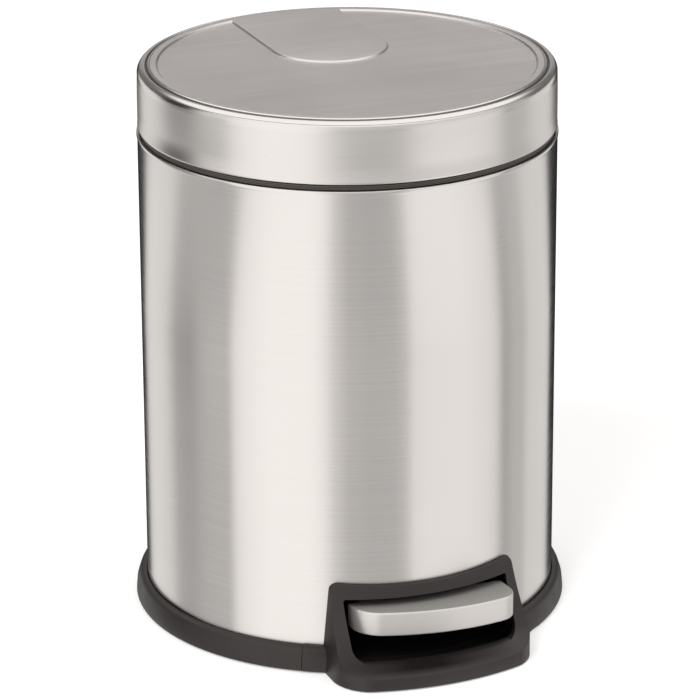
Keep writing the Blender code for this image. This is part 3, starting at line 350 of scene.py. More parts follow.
class Material:
    """A Principled material with helpers for its nodes."""

    def __init__(self, name, colour, roughness, metallic=0.0):
        self.made = bpy.data.materials.new(name)
        self.made.use_nodes = True
        self.tree = self.made.node_tree
        self.shader = self.tree.nodes["Principled BSDF"]
        self.set("Base Color", (*colour, 1.0))
        self.set("Roughness", roughness)
        self.set("Metallic", metallic)
        self.set("Specular IOR Level", GLOSS)
        self.position = self.node("ShaderNodeTexCoord").outputs["Object"]

    def set(self, socket, value):
        self.shader.inputs[socket].default_value = value

    def node(self, kind, **values):
        made = self.tree.nodes.new(kind)
        for key, value in values.items():
            setattr(made, key, value)
        return made

    def link(self, output, target):
        self.tree.links.new(output, target)

    def compute(self, operation, *values):
        """A sum over the outputs of other nodes and plain numbers."""
        made = self.node("ShaderNodeMath", operation=operation)
        feed(self.tree, made.inputs, values)
        return made.outputs["Value"]

    def noise(self, scale, stretch=(1, 1, 1), detail=3.0, roughness=0.6, shift=0.0):
        """Noise over the object's own coordinates in metres, stretched by a factor along each axis."""
        mapping = self.node("ShaderNodeMapping")
        mapping.inputs["Scale"].default_value = stretch
        mapping.inputs["Location"].default_value = (shift, shift, shift)
        self.link(self.position, mapping.inputs["Vector"])
        noise = self.node("ShaderNodeTexNoise")
        noise.inputs["Scale"].default_value = scale
        noise.inputs["Detail"].default_value = detail
        noise.inputs["Roughness"].default_value = roughness
        self.link(mapping.outputs["Vector"], noise.inputs["Vector"])
        return noise.outputs["Fac"]

    def between(self, value, low, high, from_low=0.3, from_high=0.7):
        """A value mapped from its usual range to a chosen one."""
        mapper = self.node("ShaderNodeMapRange")
        self.link(value, mapper.inputs["Value"])
        mapper.inputs["From Min"].default_value = from_low
        mapper.inputs["From Max"].default_value = from_high
        mapper.inputs["To Min"].default_value = low
        mapper.inputs["To Max"].default_value = high
        return mapper.outputs["Result"]

    def tint(self, value, dark, light):
        """Base colour that drifts between two colours."""
        mix = self.node("ShaderNodeMix", data_type="RGBA")
        self.link(self.between(value, 0.0, 1.0), mix.inputs["Factor"])
        mix.inputs["A"].default_value = (*dark, 1.0)
        mix.inputs["B"].default_value = (*light, 1.0)
        self.link(mix.outputs["Result"], self.shader.inputs["Base Color"])

    def bump(self, height, strength, distance):
        bump = self.node("ShaderNodeBump")
        bump.inputs["Strength"].default_value = strength
        bump.inputs["Distance"].default_value = distance
        self.link(height, bump.inputs["Height"])
        self.link(bump.outputs["Normal"], self.shader.inputs["Normal"])


def feed(tree, sockets, values):
    """Gives each socket its number or its link."""
    for socket, value in zip(sockets, values):
        if isinstance(value, (int, float)):
            socket.default_value = value
        else:
            tree.links.new(value, socket)


def scaled(colour, factor):
    return tuple(part * factor for part in colour)


def brushed(name, stretch, tangent, roughness, anisotropic, colour=STEEL, metallic=1.0):
    """Brushed stainless steel, whose fine lines run where the stretch is smallest."""
    steel = Material(name, colour, roughness, metallic)
    lines = steel.noise(BRUSH_LINES, stretch, detail=4.0, roughness=0.65)
    clouds = steel.noise(BRUSH_CLOUDS, detail=2.0, shift=3.1)
    level = steel.between(lines, roughness - LINE_DRIFT, roughness + LINE_DRIFT)
    level = steel.compute("ADD", steel.between(clouds, -CLOUD_DRIFT, CLOUD_DRIFT), level)
    steel.link(level, steel.shader.inputs["Roughness"])
    steel.tint(lines, scaled(colour, 1 - BRUSH_CONTRAST), scaled(colour, 1 + BRUSH_CONTRAST))
    steel.bump(lines, BRUSH_GRAIN, STEEL_RELIEF)
    steel.set("Anisotropic", anisotropic)
    steel.set("Anisotropic Rotation", TANGENT_TURN)
    if tangent is not None:
        direction = steel.node("ShaderNodeTangent", direction_type="RADIAL", axis=tangent)
        steel.link(direction.outputs["Tangent"], steel.shader.inputs["Tangent"])
    return steel.made


def moulded(name, colour, roughness, shaded_sill=False):
    """Moulded plastic with a fine spark-eroded grain, with or without its gloss taken away below the pedal as
    painted shade.
    """
    plastic = Material(name, colour, roughness)
    fine = plastic.noise(SPARK_SIZE, detail=2.0)
    broad = plastic.noise(60.0, detail=3.0, shift=1.7)
    level = plastic.between(broad, roughness - 0.05, roughness + 0.06)
    plastic.link(level, plastic.shader.inputs["Roughness"])
    plastic.tint(fine, scaled(colour, 1 - SPARK_CONTRAST), scaled(colour, 1 + SPARK_CONTRAST))
    plastic.bump(fine, SPARK_GRAIN, PLASTIC_RELIEF)
    plastic.set("Specular Tint", GLOSS_TINT)
    if shaded_sill:
        # Lower gloss on the slope below the pedal: painted shade
        plastic.link(shaded_sill_gloss(plastic), plastic.shader.inputs["Specular IOR Level"])
    return plastic.made


def shaded_sill_gloss(plastic):
    """Gloss of the plastic, taken away on the slope below the pedal as painted shade."""
    place = plastic.node("ShaderNodeSeparateXYZ")
    plastic.link(plastic.position, place.inputs["Vector"])
    aside = plastic.compute("ABSOLUTE", plastic.compute("SUBTRACT", place.outputs["X"], SHADED_SILL_X))
    middle = plastic.between(aside, 1.0, 0.0, *SHADED_SILL_HALF)
    above = plastic.between(place.outputs["Z"], 0.0, 1.0, *SHADED_SILL_START)
    below = plastic.between(place.outputs["Z"], 1.0, 0.0, *SHADED_SILL_END)
    sill_shade = plastic.compute("MULTIPLY", plastic.compute("MULTIPLY", middle, above), below)
    return plastic.between(sill_shade, GLOSS, 0.0, 0.0, 1.0)


def plated(name, colour, roughness):
    """Zinc-plated steel with faint blotches."""
    metal = Material(name, colour, roughness, metallic=1.0)
    blotches = metal.noise(180.0, detail=3.0)
    level = metal.between(blotches, roughness - 0.06, roughness + 0.12)
    metal.link(level, metal.shader.inputs["Roughness"])
    metal.tint(blotches, scaled(colour, 0.88), colour)
    metal.bump(metal.noise(900.0, shift=0.4), 0.05, STEEL_RELIEF)
    return metal.made


def make_camera():
    azimuth, pitch = math.radians(VIEW_AZIMUTH), math.radians(VIEW_PITCH)
    yaw, roll = math.radians(VIEW_YAW), math.radians(VIEW_ROLL)
    forward = Vector((math.sin(yaw) * math.cos(pitch), math.cos(yaw) * math.cos(pitch), -math.sin(pitch)))
    right = Vector((math.cos(yaw), -math.sin(yaw), 0))
    up = right.cross(forward)
    right, up = (math.cos(roll) * right + math.sin(roll) * up, math.cos(roll) * up - math.sin(roll) * right)
    turn = Matrix.Rotation(-azimuth, 4, "Z")
    place = Matrix((right, up, -forward)).transposed().to_4x4()
    place.translation = Vector((0, -CAMERA_DISTANCE, CAMERA_HEIGHT)) * MM
    camera = bpy.data.objects.new("camera", bpy.data.cameras.new("camera"))
    camera.matrix_world = Matrix.Translation((0, AXIS_Y, 0)) @ turn @ place
    camera.data.sensor_width = CAMERA_SENSOR
    camera.data.lens = CAMERA_LENS
    camera.data.clip_end = 50
    bpy.context.scene.collection.objects.link(camera)
    bpy.context.scene.camera = camera


def make_world():
    """White to the camera; to glossy surfaces soft boxes, a grey back panel and a bright ceiling."""
    world = bpy.data.worlds.new("studio")
    bpy.context.scene.world = world
    world.use_nodes = True
    tree = world.node_tree
    background = tree.nodes["Background"]
    direction = tree.nodes.new("ShaderNodeTexCoord").outputs["Generated"]
    azimuth = math.radians(VIEW_AZIMUTH)

    def math_node(operation, *values):
        made = tree.nodes.new("ShaderNodeMath")
        made.operation = operation
        feed(tree, made.inputs, values)
        return made.outputs["Value"]

    def dot(vector):
        made = tree.nodes.new("ShaderNodeVectorMath")
        made.operation = "DOT_PRODUCT"
        tree.links.new(direction, made.inputs[0])
        made.inputs[1].default_value = vector
        return made.outputs["Value"]

    def blend(factor, first, second):
        made = tree.nodes.new("ShaderNodeMix")
        made.data_type = "FLOAT"
        feed(tree, (made.inputs["Factor"], made.inputs["A"], made.inputs["B"]), (factor, first, second))
        return made.outputs["Result"]

    def smooth(value, low, high):
        made = tree.nodes.new("ShaderNodeMapRange")
        made.interpolation_type = "SMOOTHSTEP"
        tree.links.new(value, made.inputs["Value"])
        made.inputs["From Min"].default_value = low
        made.inputs["From Max"].default_value = high
        return made.outputs["Result"]

    def ramped(value, levels):
        """A level between stops of (degrees, level), where the value is the share of a whole turn."""
        ramp = tree.nodes.new("ShaderNodeValToRGB")
        tree.links.new(value, ramp.inputs["Fac"])
        stops = ramp.color_ramp.elements
        while len(stops) > 1:
            stops.remove(stops[-1])
        brightest = max(level for _, level in levels)
        for number, (degrees, level) in enumerate(levels):
            stop = stops[0] if number == 0 else stops.new(degrees / 360 + 0.5)
            stop.position = degrees / 360 + 0.5
            stop.color = (level / brightest,) * 3 + (1,)
        return math_node("MULTIPLY", ramp.outputs["Color"], brightest)

    to_right = dot((math.cos(azimuth), -math.sin(azimuth), 0))
    to_camera = dot((-math.sin(azimuth), -math.cos(azimuth), 0))
    height = dot((0, 0, 1))
    angle = math_node("ARCTAN2", to_right, to_camera)
    turn = math_node("MULTIPLY_ADD", angle, 1 / math.tau, 0.5)
    corners = math_node("MULTIPLY", smooth(to_camera, *CORNERS_BEHIND), smooth(height, *CORNERS_FROM))
    studio = blend(corners, ramped(turn, STUDIO_BANDS), BACK_CORNERS)
    upper = math_node("MULTIPLY", studio, ramped(turn, UPPER_SHARES))
    studio = blend(smooth(height, *UPPER_FROM), studio, upper)
    panel = math_node("MULTIPLY", smooth(to_camera, *PANEL_BEHIND), smooth(height, *PANEL_FROM))
    foot = math_node("MULTIPLY", smooth(to_camera, *PANEL_FOOT_BEHIND), smooth(height, *PANEL_FOOT_FROM))
    studio = blend(math_node("MAXIMUM", panel, foot), studio, BACK_PANEL)
    studio = blend(smooth(height, *OVERHEAD_FROM), studio, OVERHEAD)
    path = tree.nodes.new("ShaderNodeLightPath")
    lit = blend(path.outputs["Is Glossy Ray"], FILL, studio)
    seen = math_node("MAXIMUM", path.outputs["Is Camera Ray"], path.outputs["Is Transmission Ray"])
    tree.links.new(blend(seen, lit, CAMERA_WHITE), background.inputs["Strength"])
    background.inputs["Color"].default_value = WARM_WHITE


def make_floor():
    """A wide white floor, whose own glow keeps it white round the bin's soft shadow."""
    mesh = bpy.data.meshes.new("floor")
    corners = [(-1, -1), (1, -1), (1, 1), (-1, 1)]
    mesh.from_pydata([(x * GROUND_REACH, y * GROUND_REACH, 0) for x, y in corners], [], [(0, 1, 2, 3)])
    floor = bpy.data.objects.new("floor", mesh)
    bpy.context.scene.collection.objects.link(floor)
    floor.visible_glossy = False
    made = bpy.data.materials.new("floor")
    made.use_nodes = True
    tree = made.node_tree
    shader = tree.nodes["Principled BSDF"]
    shader.inputs["Base Color"].default_value = (GROUND_WHITE, GROUND_WHITE, GROUND_WHITE, 1)
    shader.inputs["Roughness"].default_value = 0.9
    shader.inputs["Specular IOR Level"].default_value = 0.0
    path = tree.nodes.new("ShaderNodeLightPath")
    glow = tree.nodes.new("ShaderNodeMath")
    glow.operation = "MULTIPLY"
    feed(tree, glow.inputs, (path.outputs["Is Camera Ray"], GROUND_GLOW))
    shader.inputs["Emission Color"].default_value = (1, 1, 1, 1)
    tree.links.new(glow.outputs["Value"], shader.inputs["Emission Strength"])
    mesh.materials.append(made)


def make_lamp(name, place, size, power):
    """A square soft lamp that glossy surfaces don't see, as the studio's bands stand for the soft boxes."""
    lamp = bpy.data.objects.new(name, bpy.data.lights.new(name, "AREA"))
    lamp.data.size = size
    lamp.data.energy = power
    lamp.location = place
    lamp.rotation_euler = (Vector(LAMP_TARGET) - Vector(place)).to_track_quat("-Z", "Y").to_euler()
    lamp.visible_glossy = False
    bpy.context.scene.collection.objects.link(lamp)


def body_skin(steel):
    """The steel tube with its hemmed lip, and its cut-outs for the pedal, the hinge and two screws."""
    inner, turned_in = BODY_RADIUS - SHEET, BODY_RADIUS - BODY_TURN_IN
    lip = [(BODY_RADIUS + 0.25, BODY_TOP - 1.9), (BODY_RADIUS + BODY_LIP, BODY_TOP - 1.3),
           *arc((BODY_RADIUS, BODY_TOP - BODY_LIP), BODY_LIP, 0, 90, 6), (BODY_RADIUS - 1.0, BODY_TOP),
           (turned_in, BODY_TOP - 0.3), (turned_in, BODY_TOP - 1.5)]
    outside = [(BODY_RADIUS, z) for z in (BODY_BOTTOM, 80, 160, BODY_TOP - 2.4)]
    inside = [(inner, z) for z in (BODY_TOP - BODY_HEM, 160, 80, BODY_BOTTOM)]
    tube = to_object("body_tube", lathe([*outside, *lip, *inside]), [steel])
    window = box((-BODY_WINDOW_HALF, BODY_WINDOW_HALF), (-110, -60), (0, BODY_WINDOW_TOP))
    cut(tube, window, back_slot(*BODY_SLOT))
    for side in (-1, 1):
        cut(tube, prism(circle((side * HOUSING_SCREW_X, HOUSING_SCREW_Z), HOUSING_SCREW_HOLE), 90, 108, "Y"))
    shade(tube)
    dress(tube, "base", "brushed_steel", "body_shell")


def collar_skin(plastic):
    """The dark collar between body and lid, with fine grooves round its edge."""
    outer, sunk, bottom = COLLAR_RADIUS, COLLAR_RADIUS - COLLAR_GROOVE, COLLAR_BOTTOM
    edge = [(outer - 0.15, 246.1), (outer, 245.95), (outer, 245.5), (sunk, 245.35), (sunk, 245.2),
            (outer, 245.05), (outer, 244.75), (sunk, 244.6), (sunk, 244.45), (outer, 244.3), (outer, bottom)]
    profile = [(94.5, bottom), (94.5, 245.7), (98.6, 245.7), (98.6, 248.0), (98.8, 248.2), (99.7, 248.2),
               (99.9, 248.0), (99.9, 246.1), *edge, (99.5, bottom), (99.5, 234), (98.2, 234), (98.2, 242.35),
               (96.5, bottom)]
    collar = to_object("collar", lathe(profile), [plastic])
    cut(collar, back_slot(*COLLAR_SLOT))
    shade(collar)
    dress(collar, "base", "dark_plastic", "collar_ring")


def rim_profile(proud=0.0):
    """The base's rim in section, with a soft shoulder."""
    outer, top = BASE_RADIUS + proud, BASE_TOP + proud
    shoulder = arc((BASE_RADIUS - 4.9 + proud, top - BASE_SHOULDER), BASE_SHOULDER, 12, 90, 8)
    return [(SKIRT_RADIUS, BASE_LIFT), (outer - 0.8, BASE_LIFT), (outer - 0.25, BASE_LIFT + 0.25),
            (outer, BASE_LIFT + 0.8), (outer - 0.1, 3.0), (outer - 0.45, 6.6), *shoulder, (SKIRT_RADIUS, top)]


def base_skin(plastic):
    """Floor, rim, the tray under the pedal, towers for the axle and bosses over the feet."""
    inner = FLOOR_RADIUS - FLOOR_EDGE
    floor = [(0, FLOOR_LOW), (0, FLOOR_HIGH), (FLOOR_RADIUS, FLOOR_HIGH), (FLOOR_RADIUS, BASE_LIFT),
             (inner, BASE_LIFT), (inner, FLOOR_LOW)]
    base = to_object("base_floor_and_rim", lathe(floor), [plastic])
    rim = [(SKIRT_ROOT, BASE_LIFT), *rim_profile()[1:], (SKIRT_RADIUS, SKIRT_FOOT), (SKIRT_ROOT, SKIRT_FOOT)]
    seam = SEAM_ANGLE + SEAM_GAP_ANGLE
    tray = [(TRAY_INNER, SKIRT_FOOT), (TRAY_OUTER, SKIRT_FOOT), (TRAY_OUTER, TRAY_TOP),
            (TRAY_INNER, TRAY_TOP)]
    add(base, lathe(rim, -90 + seam, 360 - 2 * seam, RIM_STEPS), bowed(tray, TRAY_HALF, 48))
    tower = [(PIVOT_Y - TOWER_HALF_DEPTH, FLOOR_ROOT), (PIVOT_Y + TOWER_HALF_DEPTH, FLOOR_ROOT),
             *arc((PIVOT_Y, PIVOT_Z), PIVOT_BOSS, 10, 170, 16)]
    for side in (-1, 1):
        add(base, prism(tower, *sorted((side * TOWER_INNER, side * TOWER_OUTER)), "X"))
    cut(base, prism(circle((PIVOT_Y, PIVOT_Z), PIVOT_HOLE), -20, 20, "X"))
    for angle in FOOT_ANGLES:
        turn = math.radians(angle)
        place = (FOOT_CIRCLE * math.cos(turn), FOOT_CIRCLE * math.sin(turn))
        add(base, prism(circle(place, FOOT_BOSS, 40), FOOT_BOSS_LOW, FLOOR_ROOT))
    shade(base)
    dress(base, "base", "dark_plastic", "base_moulding")


def surround_skin(plastic):
    """The frame round the pedal: a hollow slope below, leaning uprights, and the lengths of rim beside it."""
    blank = [(SKIRT_RADIUS, BASE_LIFT), *SURROUND_FACE, (SKIRT_RADIUS, SURROUND_BLANK_TOP)]
    surround = to_object("surround_frame", bowed(blank, SURROUND_HALF_LOW + 2, 96), [plastic])
    plan = footprint(SURROUND_HALF_LOW, SURROUND_REACH, SURROUND_CORNER, -80, 0.0, 48, 22)
    trim(surround, prism(plan, -1, 50), front_view())
    round_outer_edges(surround, SURROUND_EDGE)
    slope = [(r - HOLLOW_INSET, z - HOLLOW_DROP) for r, z in HOLLOW_FACE]
    hollow = [(HOLLOW_BACK, -1), (slope[0][0], -1), *slope, (HOLLOW_NECK, HOLLOW_TOP),
              (HOLLOW_BACK, HOLLOW_TOP)]
    cut(surround, bowed(hollow, HOLLOW_HALF, 72), bowed(TOE_HOLLOW, TOE_HALF, 60),
        prism(opening_outline(), -140, -80, "Y"))
    for start in (-90 - SEAM_ANGLE, -90 + SEAM_INNER_ANGLE):
        add(surround, lathe(rim_profile(SEAM_PROUD), start, SEAM_ANGLE - SEAM_INNER_ANGLE, RIM_PIECE_STEPS))
    shade(surround)
    dress(surround, "base", "dark_plastic", "pedal_surround")


def front_view():
    """The surround as seen from the front, leaning in to its top, which slopes down towards the front."""
    low, corner = SURROUND_HALF_LOW + 0.1, SURROUND_TOP_CORNER
    right = arc((SURROUND_HALF_HIGH - corner, SURROUND_TOP - corner), corner, 4, 90, 14)
    left = [(-x, z) for x, z in reversed(right)]
    shape = prism([(low, -1), *right, *left, (-low, -1)], -140, -70, "Y")
    for vert in shape.verts:
        if vert.co.z > 0:
            vert.co.z += SURROUND_TOP_SLOPE * (vert.co.y - SURROUND_TOP_Y)
    return shape


def opening_outline():
    """The surround's opening from the front, with rounded corners below and slight ones above."""
    half, high, corner = OPENING_HALF, OPENING_HIGH, OPENING_CORNER
    corner_x, corner_z = half - corner, OPENING_LOW + corner
    right = arc((corner_x, corner_z), corner, 0, -90, 12)
    left = arc((-corner_x, corner_z), corner, -90, -180, 12)
    return [*right, *left, (-half, high - OPENING_CHAMFER), (-half + OPENING_CHAMFER, high),
            (half - OPENING_CHAMFER, high), (half, high - OPENING_CHAMFER)]


def round_outer_edges(obj, width):
    """Rounds the edges between the frame's front and its sides and top, and not those that meet the body."""
    above, outside, bend = 7.9, 104.0, math.radians(38)
    shape = bmesh.new()
    shape.from_mesh(obj.data)
    weight = shape.edges.layers.float.new("bevel_weight_edge")
    for edge in shape.edges:
        ends = [vert.co / MM for vert in edge.verts]
        reach = min(math.hypot(end.x, end.y - AXIS_Y / MM) for end in ends)
        if min(end.z for end in ends) > above and reach > outside and edge.calc_face_angle(0) > bend:
            edge[weight] = 1.0
    shape.to_mesh(obj.data)
    shape.free()
    round_edges(obj, width, 4)
    apply_modifiers(obj)


def pedal_plan(inset, back):
    """The pedal's outline, stood a little askew on its lever and deeper at its right end."""
    half, yaw = PEDAL_HALF - inset, math.radians(PEDAL_YAW)
    outline = footprint(half, PEDAL_ARC - inset, PEDAL_CORNER - inset, back, PEDAL_ARC_Y, 40, 16)
    outline[0] = (half, back + PEDAL_BACK_SKEW)
    turned = []
    for x, y in outline:
        from_back = y - PEDAL_BACK
        turned.append((PEDAL_SHIFT + x * math.cos(yaw) - from_back * math.sin(yaw),
                       PEDAL_BACK - x * math.sin(yaw) + from_back * math.cos(yaw)))
    return turned


def pedal_skin(steel, satin_shaded_steel):
    """The pressed cap of the pedal, with rolled edges and a rougher satin tread whose darker colour is
    painted shade.
    """
    blank = prism(pedal_plan(0, PEDAL_BACK), PEDAL_LOW, PEDAL_HIGH)
    plate = to_object("pedal_cap", blank, [steel, satin_shaded_steel])
    round_edges(plate, PEDAL_EDGE, 4, 50)
    apply_modifiers(plate)
    cut(plate, prism(pedal_plan(PEDAL_SHEET, PEDAL_BACK + 3), PEDAL_LOW - 2, PEDAL_HIGH - PEDAL_SHEET))
    # Upward faces take the tread's darker steel: painted shade
    for face in plate.data.polygons:
        if face.normal.z > 0.9:
            face.material_index = 1
    shade(plate)
    dress(plate, "pedal", "brushed_steel", "pedal_plate")


def panel_outline():
    """The line of the pressed step: the circle, and the tongue that runs in from the hinge side."""
    half, radius, corner, shift = TONGUE_HALF, RECESS_RADIUS, TONGUE_CORNER, TONGUE_SHIFT
    left, right = shift - half - corner, shift + half + corner
    left_y, right_y = (math.sqrt((radius - corner) ** 2 - x**2) for x in (left, right))
    start, end = math.degrees(math.atan2(right_y, right)), math.degrees(math.atan2(left_y, left))
    round_circle = arc((0, 0), radius, start, end - 360, 240)
    left_corner = arc((left, left_y), corner, end, 0, 10)
    left_side = [(left + corner, half + (left_y - half) * t / 16) for t in range(15, 0, -1)]
    tongue = arc((shift, half), half, 180, 360, 80)
    right_side = [(right - corner, half + (right_y - half) * t / 16) for t in range(1, 16)]
    right_corner = arc((right, right_y), corner, 180, start, 10)
    return [*round_circle[:-1], *left_corner, *left_side, *tongue, *right_side, *right_corner[:-1]]


def offset(outline, distance):
    """The outline moved sideways, away from the pressed part where the distance is positive."""
    moved = []
    for i, (x, y) in enumerate(outline):
        before, after = outline[i - 1], outline[(i + 1) % len(outline)]
        along = Vector((after[0] - before[0], after[1] - before[1])).normalized()
        moved.append((x - along.y * distance, y + along.x * distance))
    return moved


def rings(shape, profile, material):
    """Adds the surface that an open profile sweeps round the axis, and returns its rings of vertices."""
    made = []
    for r, z in profile:
        turns = [math.tau * i / SEGMENTS for i in range(SEGMENTS)]
        made.append([shape.verts.new((r * math.cos(a), r * math.sin(a), z)) for a in turns])
    for low, high in zip(made, made[1:]):
        bridge(shape, low, high, material)
    return made


def lid_skin(wall_steel, panel_steel, painted_shade_steel, rim_steel):
    """The lid in one pressing: hem, wall, rolled rim, groove, and the panel with its tongue."""
    radius, inner, bottom, panel = LID_RADIUS, LID_RADIUS - SHEET, LID_BOTTOM, LID_PANEL
    wall_part, panel_part, painted_shade_part, rim_part = range(4)
    shape = bmesh.new()
    inside = [(inner - 3.5, 275.5), (inner - 1.0, 274.3), (inner, 272), (inner, 260), (inner, bottom + 0.6),
              (inner + 0.2, bottom + 0.1), (inner + 0.4, bottom)]
    wall = [(radius - 0.25, bottom + 0.05), (radius, bottom + 0.4), (radius, bottom + 1.2),
            (radius - 0.15, bottom + 1.6), (radius - 0.15, 256), (radius - 0.17, 262), (radius - 0.24, 268),
            (radius - 0.35, 271.5)]
    shoulder, turn = (LID_SHOULDER_RADIUS, panel - LID_SHOULDER_BEND), LID_SHOULDER_BEND
    lip = [(98.3, 276.66), (98.1, 276.5), (98.0, 276.2)]
    sections = [
        ([*inside, *wall], wall_part),
        (arc(LID_RIM_CENTRE, LID_RIM_BEND, 4, 35, 6), rim_part),
        ([*arc(LID_RIM_CENTRE, LID_RIM_BEND, 38.5, 90, 10), *lip], rim_part),
        # The groove and the lower part of the shoulder take the darker steel: painted shade
        ([(97.92, 275.9), (97.75, 275.75), (97.55, 275.75), *arc(shoulder, turn, 0, 46, 5)], painted_shade_part),
        (arc(shoulder, turn, 49, 86, 7), rim_part),
        # A thin ring at the panel's edge takes the darker steel too: painted shade
        ([(95.75, panel - 0.03), (95.65, panel - 0.03)], painted_shade_part),
        ([(95.55, panel), (94.6, panel), (LID_FLAT_RADIUS, panel)], panel_part),
    ]
    joined = [wall_part, rim_part, painted_shade_part, painted_shade_part, rim_part, painted_shade_part, panel_part]
    edge = None
    for (section, part), link_part in zip(sections, joined):
        rows = rings(shape, section, part)
        if edge is None:
            shape.faces.new(rows[0])
        else:
            bridge(shape, edge, rows[0], link_part)
        edge = rows[-1]
    press_panel(shape, edge, panel_part, painted_shade_part)
    lid = to_object("lid_pressing", shape, [wall_steel, panel_steel, painted_shade_steel, rim_steel])
    cut(lid, back_slot(*LID_SLOT))
    shade(lid, WIDE_SHARP_ANGLE)
    dress(lid, "lid", "brushed_steel", "lid_shell")


def press_panel(shape, edge, panel_part, painted_shade_part):
    """Fills the ring of vertices at the lid's edge with the flat, the step down and the sunk panel."""
    outline = panel_outline()
    loops = []
    for i in range(STEP_ROWS + 1):
        share = min(1.0, max(0.0, (i - 1) / (STEP_ROWS - 2)))
        distance = STEP_HALF * (1 - 2 * i / STEP_ROWS) + (STEP_LEAD if i == 0 else 0)
        lead = STEP_LEAD_DEPTH * min(i, 1)
        sunk = lead + (RECESS_DEPTH - STEP_LEAD_DEPTH) * (1 - math.cos(math.pi * share)) / 2
        loops.append([shape.verts.new((x, y, LID_PANEL - sunk)) for x, y in offset(outline, distance)])
    for number, (low, high) in enumerate(zip(loops, loops[1:])):
        # The last two rows, at the foot of the step, take the darker steel: painted shade
        bridge(shape, low, high, painted_shade_part if number >= STEP_ROWS - 2 else panel_part)
    shape.faces.new(loops[-1]).material_index = panel_part
    borders = []
    for loop in (loops[0], edge):
        borders += [shape.edges.get((loop[i], loop[(i + 1) % len(loop)])) for i in range(len(loop))]
    filled = bmesh.ops.triangle_fill(shape, edges=borders, use_beauty=True)
    for element in filled["geom"]:
        if isinstance(element, bmesh.types.BMFace):
            element.material_index = panel_part


def liner_skin(plastic):
    """The plastic dish inside the lid."""
    outer, inner, bottom, underside, top = LINER_RADIUS, LINER_INNER, LINER_BOTTOM, LINER_UNDERSIDE, LINER_TOP
    profile = [(0, underside), (0, top), (97.8, top), (99.2, 274.2), (100.1, 272.9), (outer, 271.4),
               (outer, bottom + 0.2), (outer - 0.2, bottom), (inner + 0.2, bottom), (inner, bottom + 0.2),
               (inner, 271.2), (inner - 0.4, 272.3), (inner - 1.4, underside)]
    liner = to_object("liner_dish", lathe(profile, steps=INNER_SEGMENTS), [plastic])
    cut(liner, back_slot(*LINER_SLOT))
    for side in (-1, 1):
        cut(liner, prism(circle((side * BRACKET_SCREW_X, BRACKET_SCREW_Y), BRACKET_HOLE), 265, 280))
    shade(liner)
    dress(liner, "lid", "black_plastic", "lid_liner")


def bucket_skin(plastic):
    """The lift-out bucket: tapered, with a rolled rim, a flat back and ears for its bail."""
    bottom, top, wall, back = BUCKET_BOTTOM, BUCKET_TOP, BUCKET_WALL, BUCKET_BACK
    foot, mouth, rim = BUCKET_FOOT_RADIUS - BUCKET_FOOT_ROUND, BUCKET_MOUTH_RADIUS, BUCKET_RIM_RADIUS
    turn = BUCKET_FOOT_ROUND
    outer = [(0, bottom), (foot, bottom), *arc((foot, bottom + turn), turn, -80, 0, 6),
             (mouth, top - BUCKET_RIM), (rim - 0.3, top - BUCKET_RIM), (rim, top - 1.5), (rim, top - 0.6),
             (rim - 0.2, top - 0.15), (rim - 0.6, top), (0, top)]
    bucket = to_object("bucket_body", lathe(outer, steps=INNER_SEGMENTS), [plastic])
    trim(bucket, box((-120, 120), (-120, back), (20, 300)))
    ear = [(-EAR_HALF, top - 1), (EAR_HALF, top - 1), *arc((0, BAIL_Z), EAR_RADIUS, 0, 180, 16)]
    for side in (-1, 1):
        add(bucket, prism(ear, *sorted((side * EAR_INNER, side * EAR_OUTER)), "X"))
    floor, inner_foot = bottom + wall, foot - wall
    inner = [(0, floor), (inner_foot, floor), *arc((inner_foot, floor + turn), turn, -80, 0, 6),
             (mouth - wall, top), (mouth - wall, top + 1), (0, top + 1)]
    hollow = lathe(inner, steps=INNER_SEGMENTS)
    for vert in hollow.verts:
        vert.co.y = min(vert.co.y, back - wall)
    cut(bucket, hollow, prism(circle((0, BAIL_Z), BAIL_HOLE), -110, 110, "X"))
    shade(bucket)
    dress(bucket, "bucket", "black_plastic", "inner_bucket")


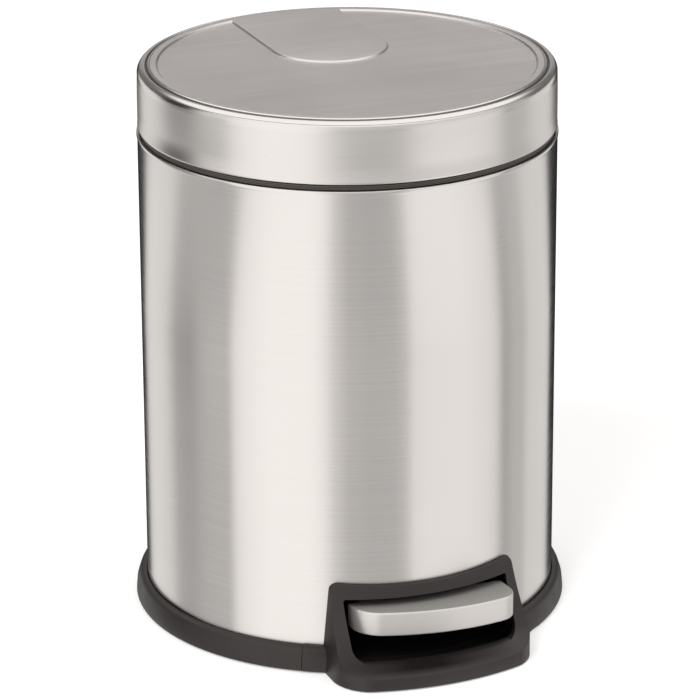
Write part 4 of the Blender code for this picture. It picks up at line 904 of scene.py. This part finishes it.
def finish_nodes(looks):
    """Gives the CAD nodes that stay their finer materials and rounded edges."""
    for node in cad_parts.values():
        for i, made in enumerate(node.data.materials):
            node.data.materials[i] = looks[made.name.split(".")[0]]
        if not node.hide_render:
            round_edges(node, NODE_EDGE, 2, WIDE_SHARP_ANGLE)
            shade(node, WIDE_SHARP_ANGLE)


def main():
    bpy.context.scene.view_settings.view_transform = "Standard"
    body = brushed("steel_brushed_around", ROUND, "Z", 0.18, 1.0)
    lid_wall = brushed("steel_lid_wall", ROUND, "Z", 0.3, 0.4)
    # Darker steel for the lid's groove and the foot of its step: painted shade
    groove = brushed("steel_groove_painted_shade", ROUND, "Z", 0.6, 0.0, GROOVE_SHADE_STEEL)
    rim = brushed("steel_lid_rim", ROUND, "Z", 0.22, 0.3)
    panel = brushed("steel_brushed_across", ACROSS, "Y", 0.34, 0.5, PANEL_STEEL)
    pedal = brushed("steel_pedal", PEDAL_ACROSS, "Z", 0.4, 0.9, metallic=0.62)
    # A darker, mostly matt copy of the pedal's steel for the tread: a satin finish, with painted shade in its
    # colour
    tread = brushed("steel_pedal_tread_painted_shade", PEDAL_ACROSS, None, 0.55, 0.0, TREAD_SHADE_STEEL, 0.2)
    charcoal = moulded("plastic_charcoal", CHARCOAL, 0.46)
    # The surround's plastic loses its gloss on the slope below the pedal: painted shade
    surround = moulded("plastic_surround", CHARCOAL, 0.46, shaded_sill=True)
    collar = moulded("plastic_collar", COLLAR_GREY, 0.36)
    black = moulded("plastic_black", BLACK, 0.46)
    nylon = moulded("nylon_white", NYLON, 0.45)
    rubber = moulded("rubber_black", RUBBER, 0.8)
    zinc = plated("steel_plated", ZINC, 0.3)
    body_skin(body)
    collar_skin(collar)
    base_skin(charcoal)
    surround_skin(surround)
    pedal_skin(pedal, tread)
    lid_skin(lid_wall, panel, groove, rim)
    liner_skin(black)
    bucket_skin(black)
    finish_nodes({"brushed_steel": body, "dark_plastic": charcoal, "black_plastic": black, "nylon": nylon,
                  "rubber": rubber, "plated_steel": zinc})
    make_camera()
    make_world()
    make_floor()
    for lamp in LAMPS:
        make_lamp(*lamp)


main()
